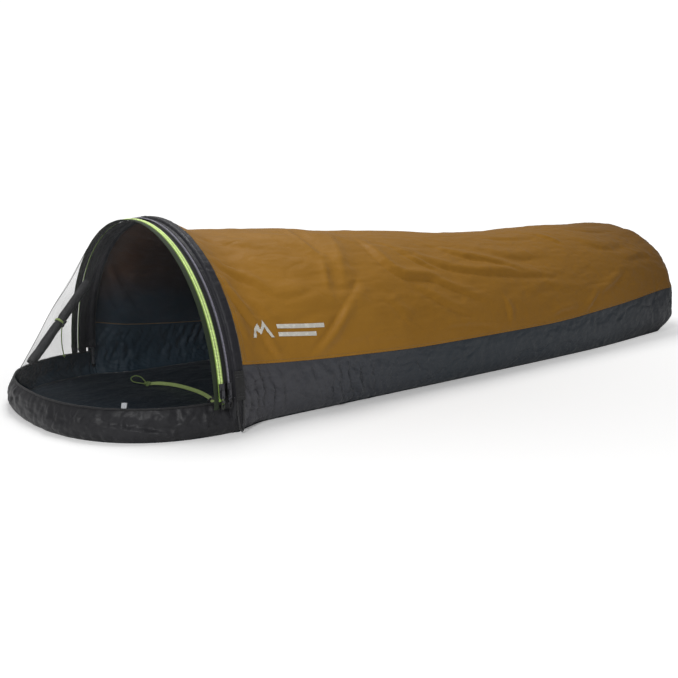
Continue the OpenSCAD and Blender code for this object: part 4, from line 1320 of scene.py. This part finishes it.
# ---------------------------------------------------------------- printed mark
def make_mark(shell):
    """A plain twin-peak shape and two stripes, printed on the near side by the hoop."""
    bpy.context.view_layer.update()
    tree = BVHTree.FromObject(shell, bpy.context.evaluated_depsgraph_get())
    peaks = [(0, 0), (13, 24), (19, 14), (27, 30), (44, 0), (37, 0), (27, 18), (20, 5), (13, 13), (7, 0)]
    shapes = [peaks, [(54, 16), (150, 16), (150, 23), (54, 23)], [(54, 2), (132, 2), (132, 9), (54, 9)]]
    # Its lower front corner, behind the hoop and above the seam, and its slant
    start_c, start_v, tilt = 0.054, 0.052, math.radians(-2)
    points, faces = [], []
    for outline in shapes:
        outline = np.array(outline, float) * MM * 1.2
        lo, hi = outline.min(0), outline.max(0)
        step = 1.5 * MM
        us, vs = np.arange(lo[0], hi[0] + step, step), np.arange(lo[1], hi[1] + step, step)
        index = {}
        for i, u in enumerate(us[:-1]):
            for j, v in enumerate(vs[:-1]):
                if not inside(u + step / 2, v + step / 2, outline):
                    continue
                quad = []
                for a, b in ((i, j), (i + 1, j), (i + 1, j + 1), (i, j + 1)):
                    if (a, b) not in index:
                        index[a, b] = len(points)
                        points.append((us[a], vs[b]))
                    quad.append(index[a, b])
                faces.append(tuple(quad))
    flat = np.array(points)
    c = start_c + flat[:, 0] * math.cos(tilt) - flat[:, 1] * math.sin(tilt)
    up = start_v + flat[:, 0] * math.sin(tilt) + flat[:, 1] * math.cos(tilt)
    guess, _ = surface_line(c, up, 0)
    placed = []
    for p in guess:
        hit, normal, _, _ = tree.find_nearest(Vector(p))
        if normal.y > 0:
            normal = -normal
        placed.append(hit + normal * 0.8 * MM)
    mark = mesh_object("peak_mark", placed, faces, MARK, flat)
    place(mark, "root", "canopy_nylon")


def inside(x, y, outline):
    """True if a point is in a polygon."""
    hit = False
    n = len(outline)
    for i in range(n):
        (x1, y1), (x2, y2) = outline[i], outline[(i + 1) % n]
        if (y1 > y) != (y2 > y) and x < (x2 - x1) * (y - y1) / (y2 - y1) + x1:
            hit = not hit
    return hit


# ---------------------------------------------------------------- CAD nodes that stay
def dress_nodes():
    """Better materials and rounded edges on the hard parts."""
    finishes = {
        "pole_near": POLE, "pole_far": POLE, "pole_ferrule": POLE, "shock_cord": ELASTIC,
        "pole_tip_near": BLACK_PLASTIC, "pole_tip_far": BLACK_PLASTIC, "zip_end_stops": STOP,
        "net_slider": SLIDER, "storm_slider": SLIDER, "net_pull_tab": SLIDER, "storm_pull_tab": SLIDER,
        "net_pull_cord": OLIVE_CORD, "storm_pull_cord": BLACK_CORD,
    }
    rounded = {"net_slider": 0.45, "storm_slider": 0.45, "net_pull_tab": 0.35, "storm_pull_tab": 0.35,
               "zip_end_stops": 0.35}
    for name, material in finishes.items():
        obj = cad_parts[name]
        for k in range(max(1, len(obj.material_slots))):
            if not obj.material_slots:
                obj.data.materials.append(material)
            obj.material_slots[k].material = material
        if name in rounded:
            mod = obj.modifiers.new("edge", "BEVEL")
            mod.width = rounded[name] * MM
            mod.segments = 2
            mod.limit_method = "ANGLE"
            mod.angle_limit = math.radians(35)


# ---------------------------------------------------------------- the whole
make_camera()
make_strap()
make_toggle()
make_studio()
shell = make_canopy()
make_canopy_trim()
make_tub()
make_head()
make_floor()
make_sleeve()
for side, name in ((-1, "near"), (1, "far")):
    make_pocket(side, name)
    make_corner_tab(side, name)
make_foot_loop()
make_zips()
make_net()
make_roll()
make_rim_tab()
make_mark(shell)
dress_nodes()
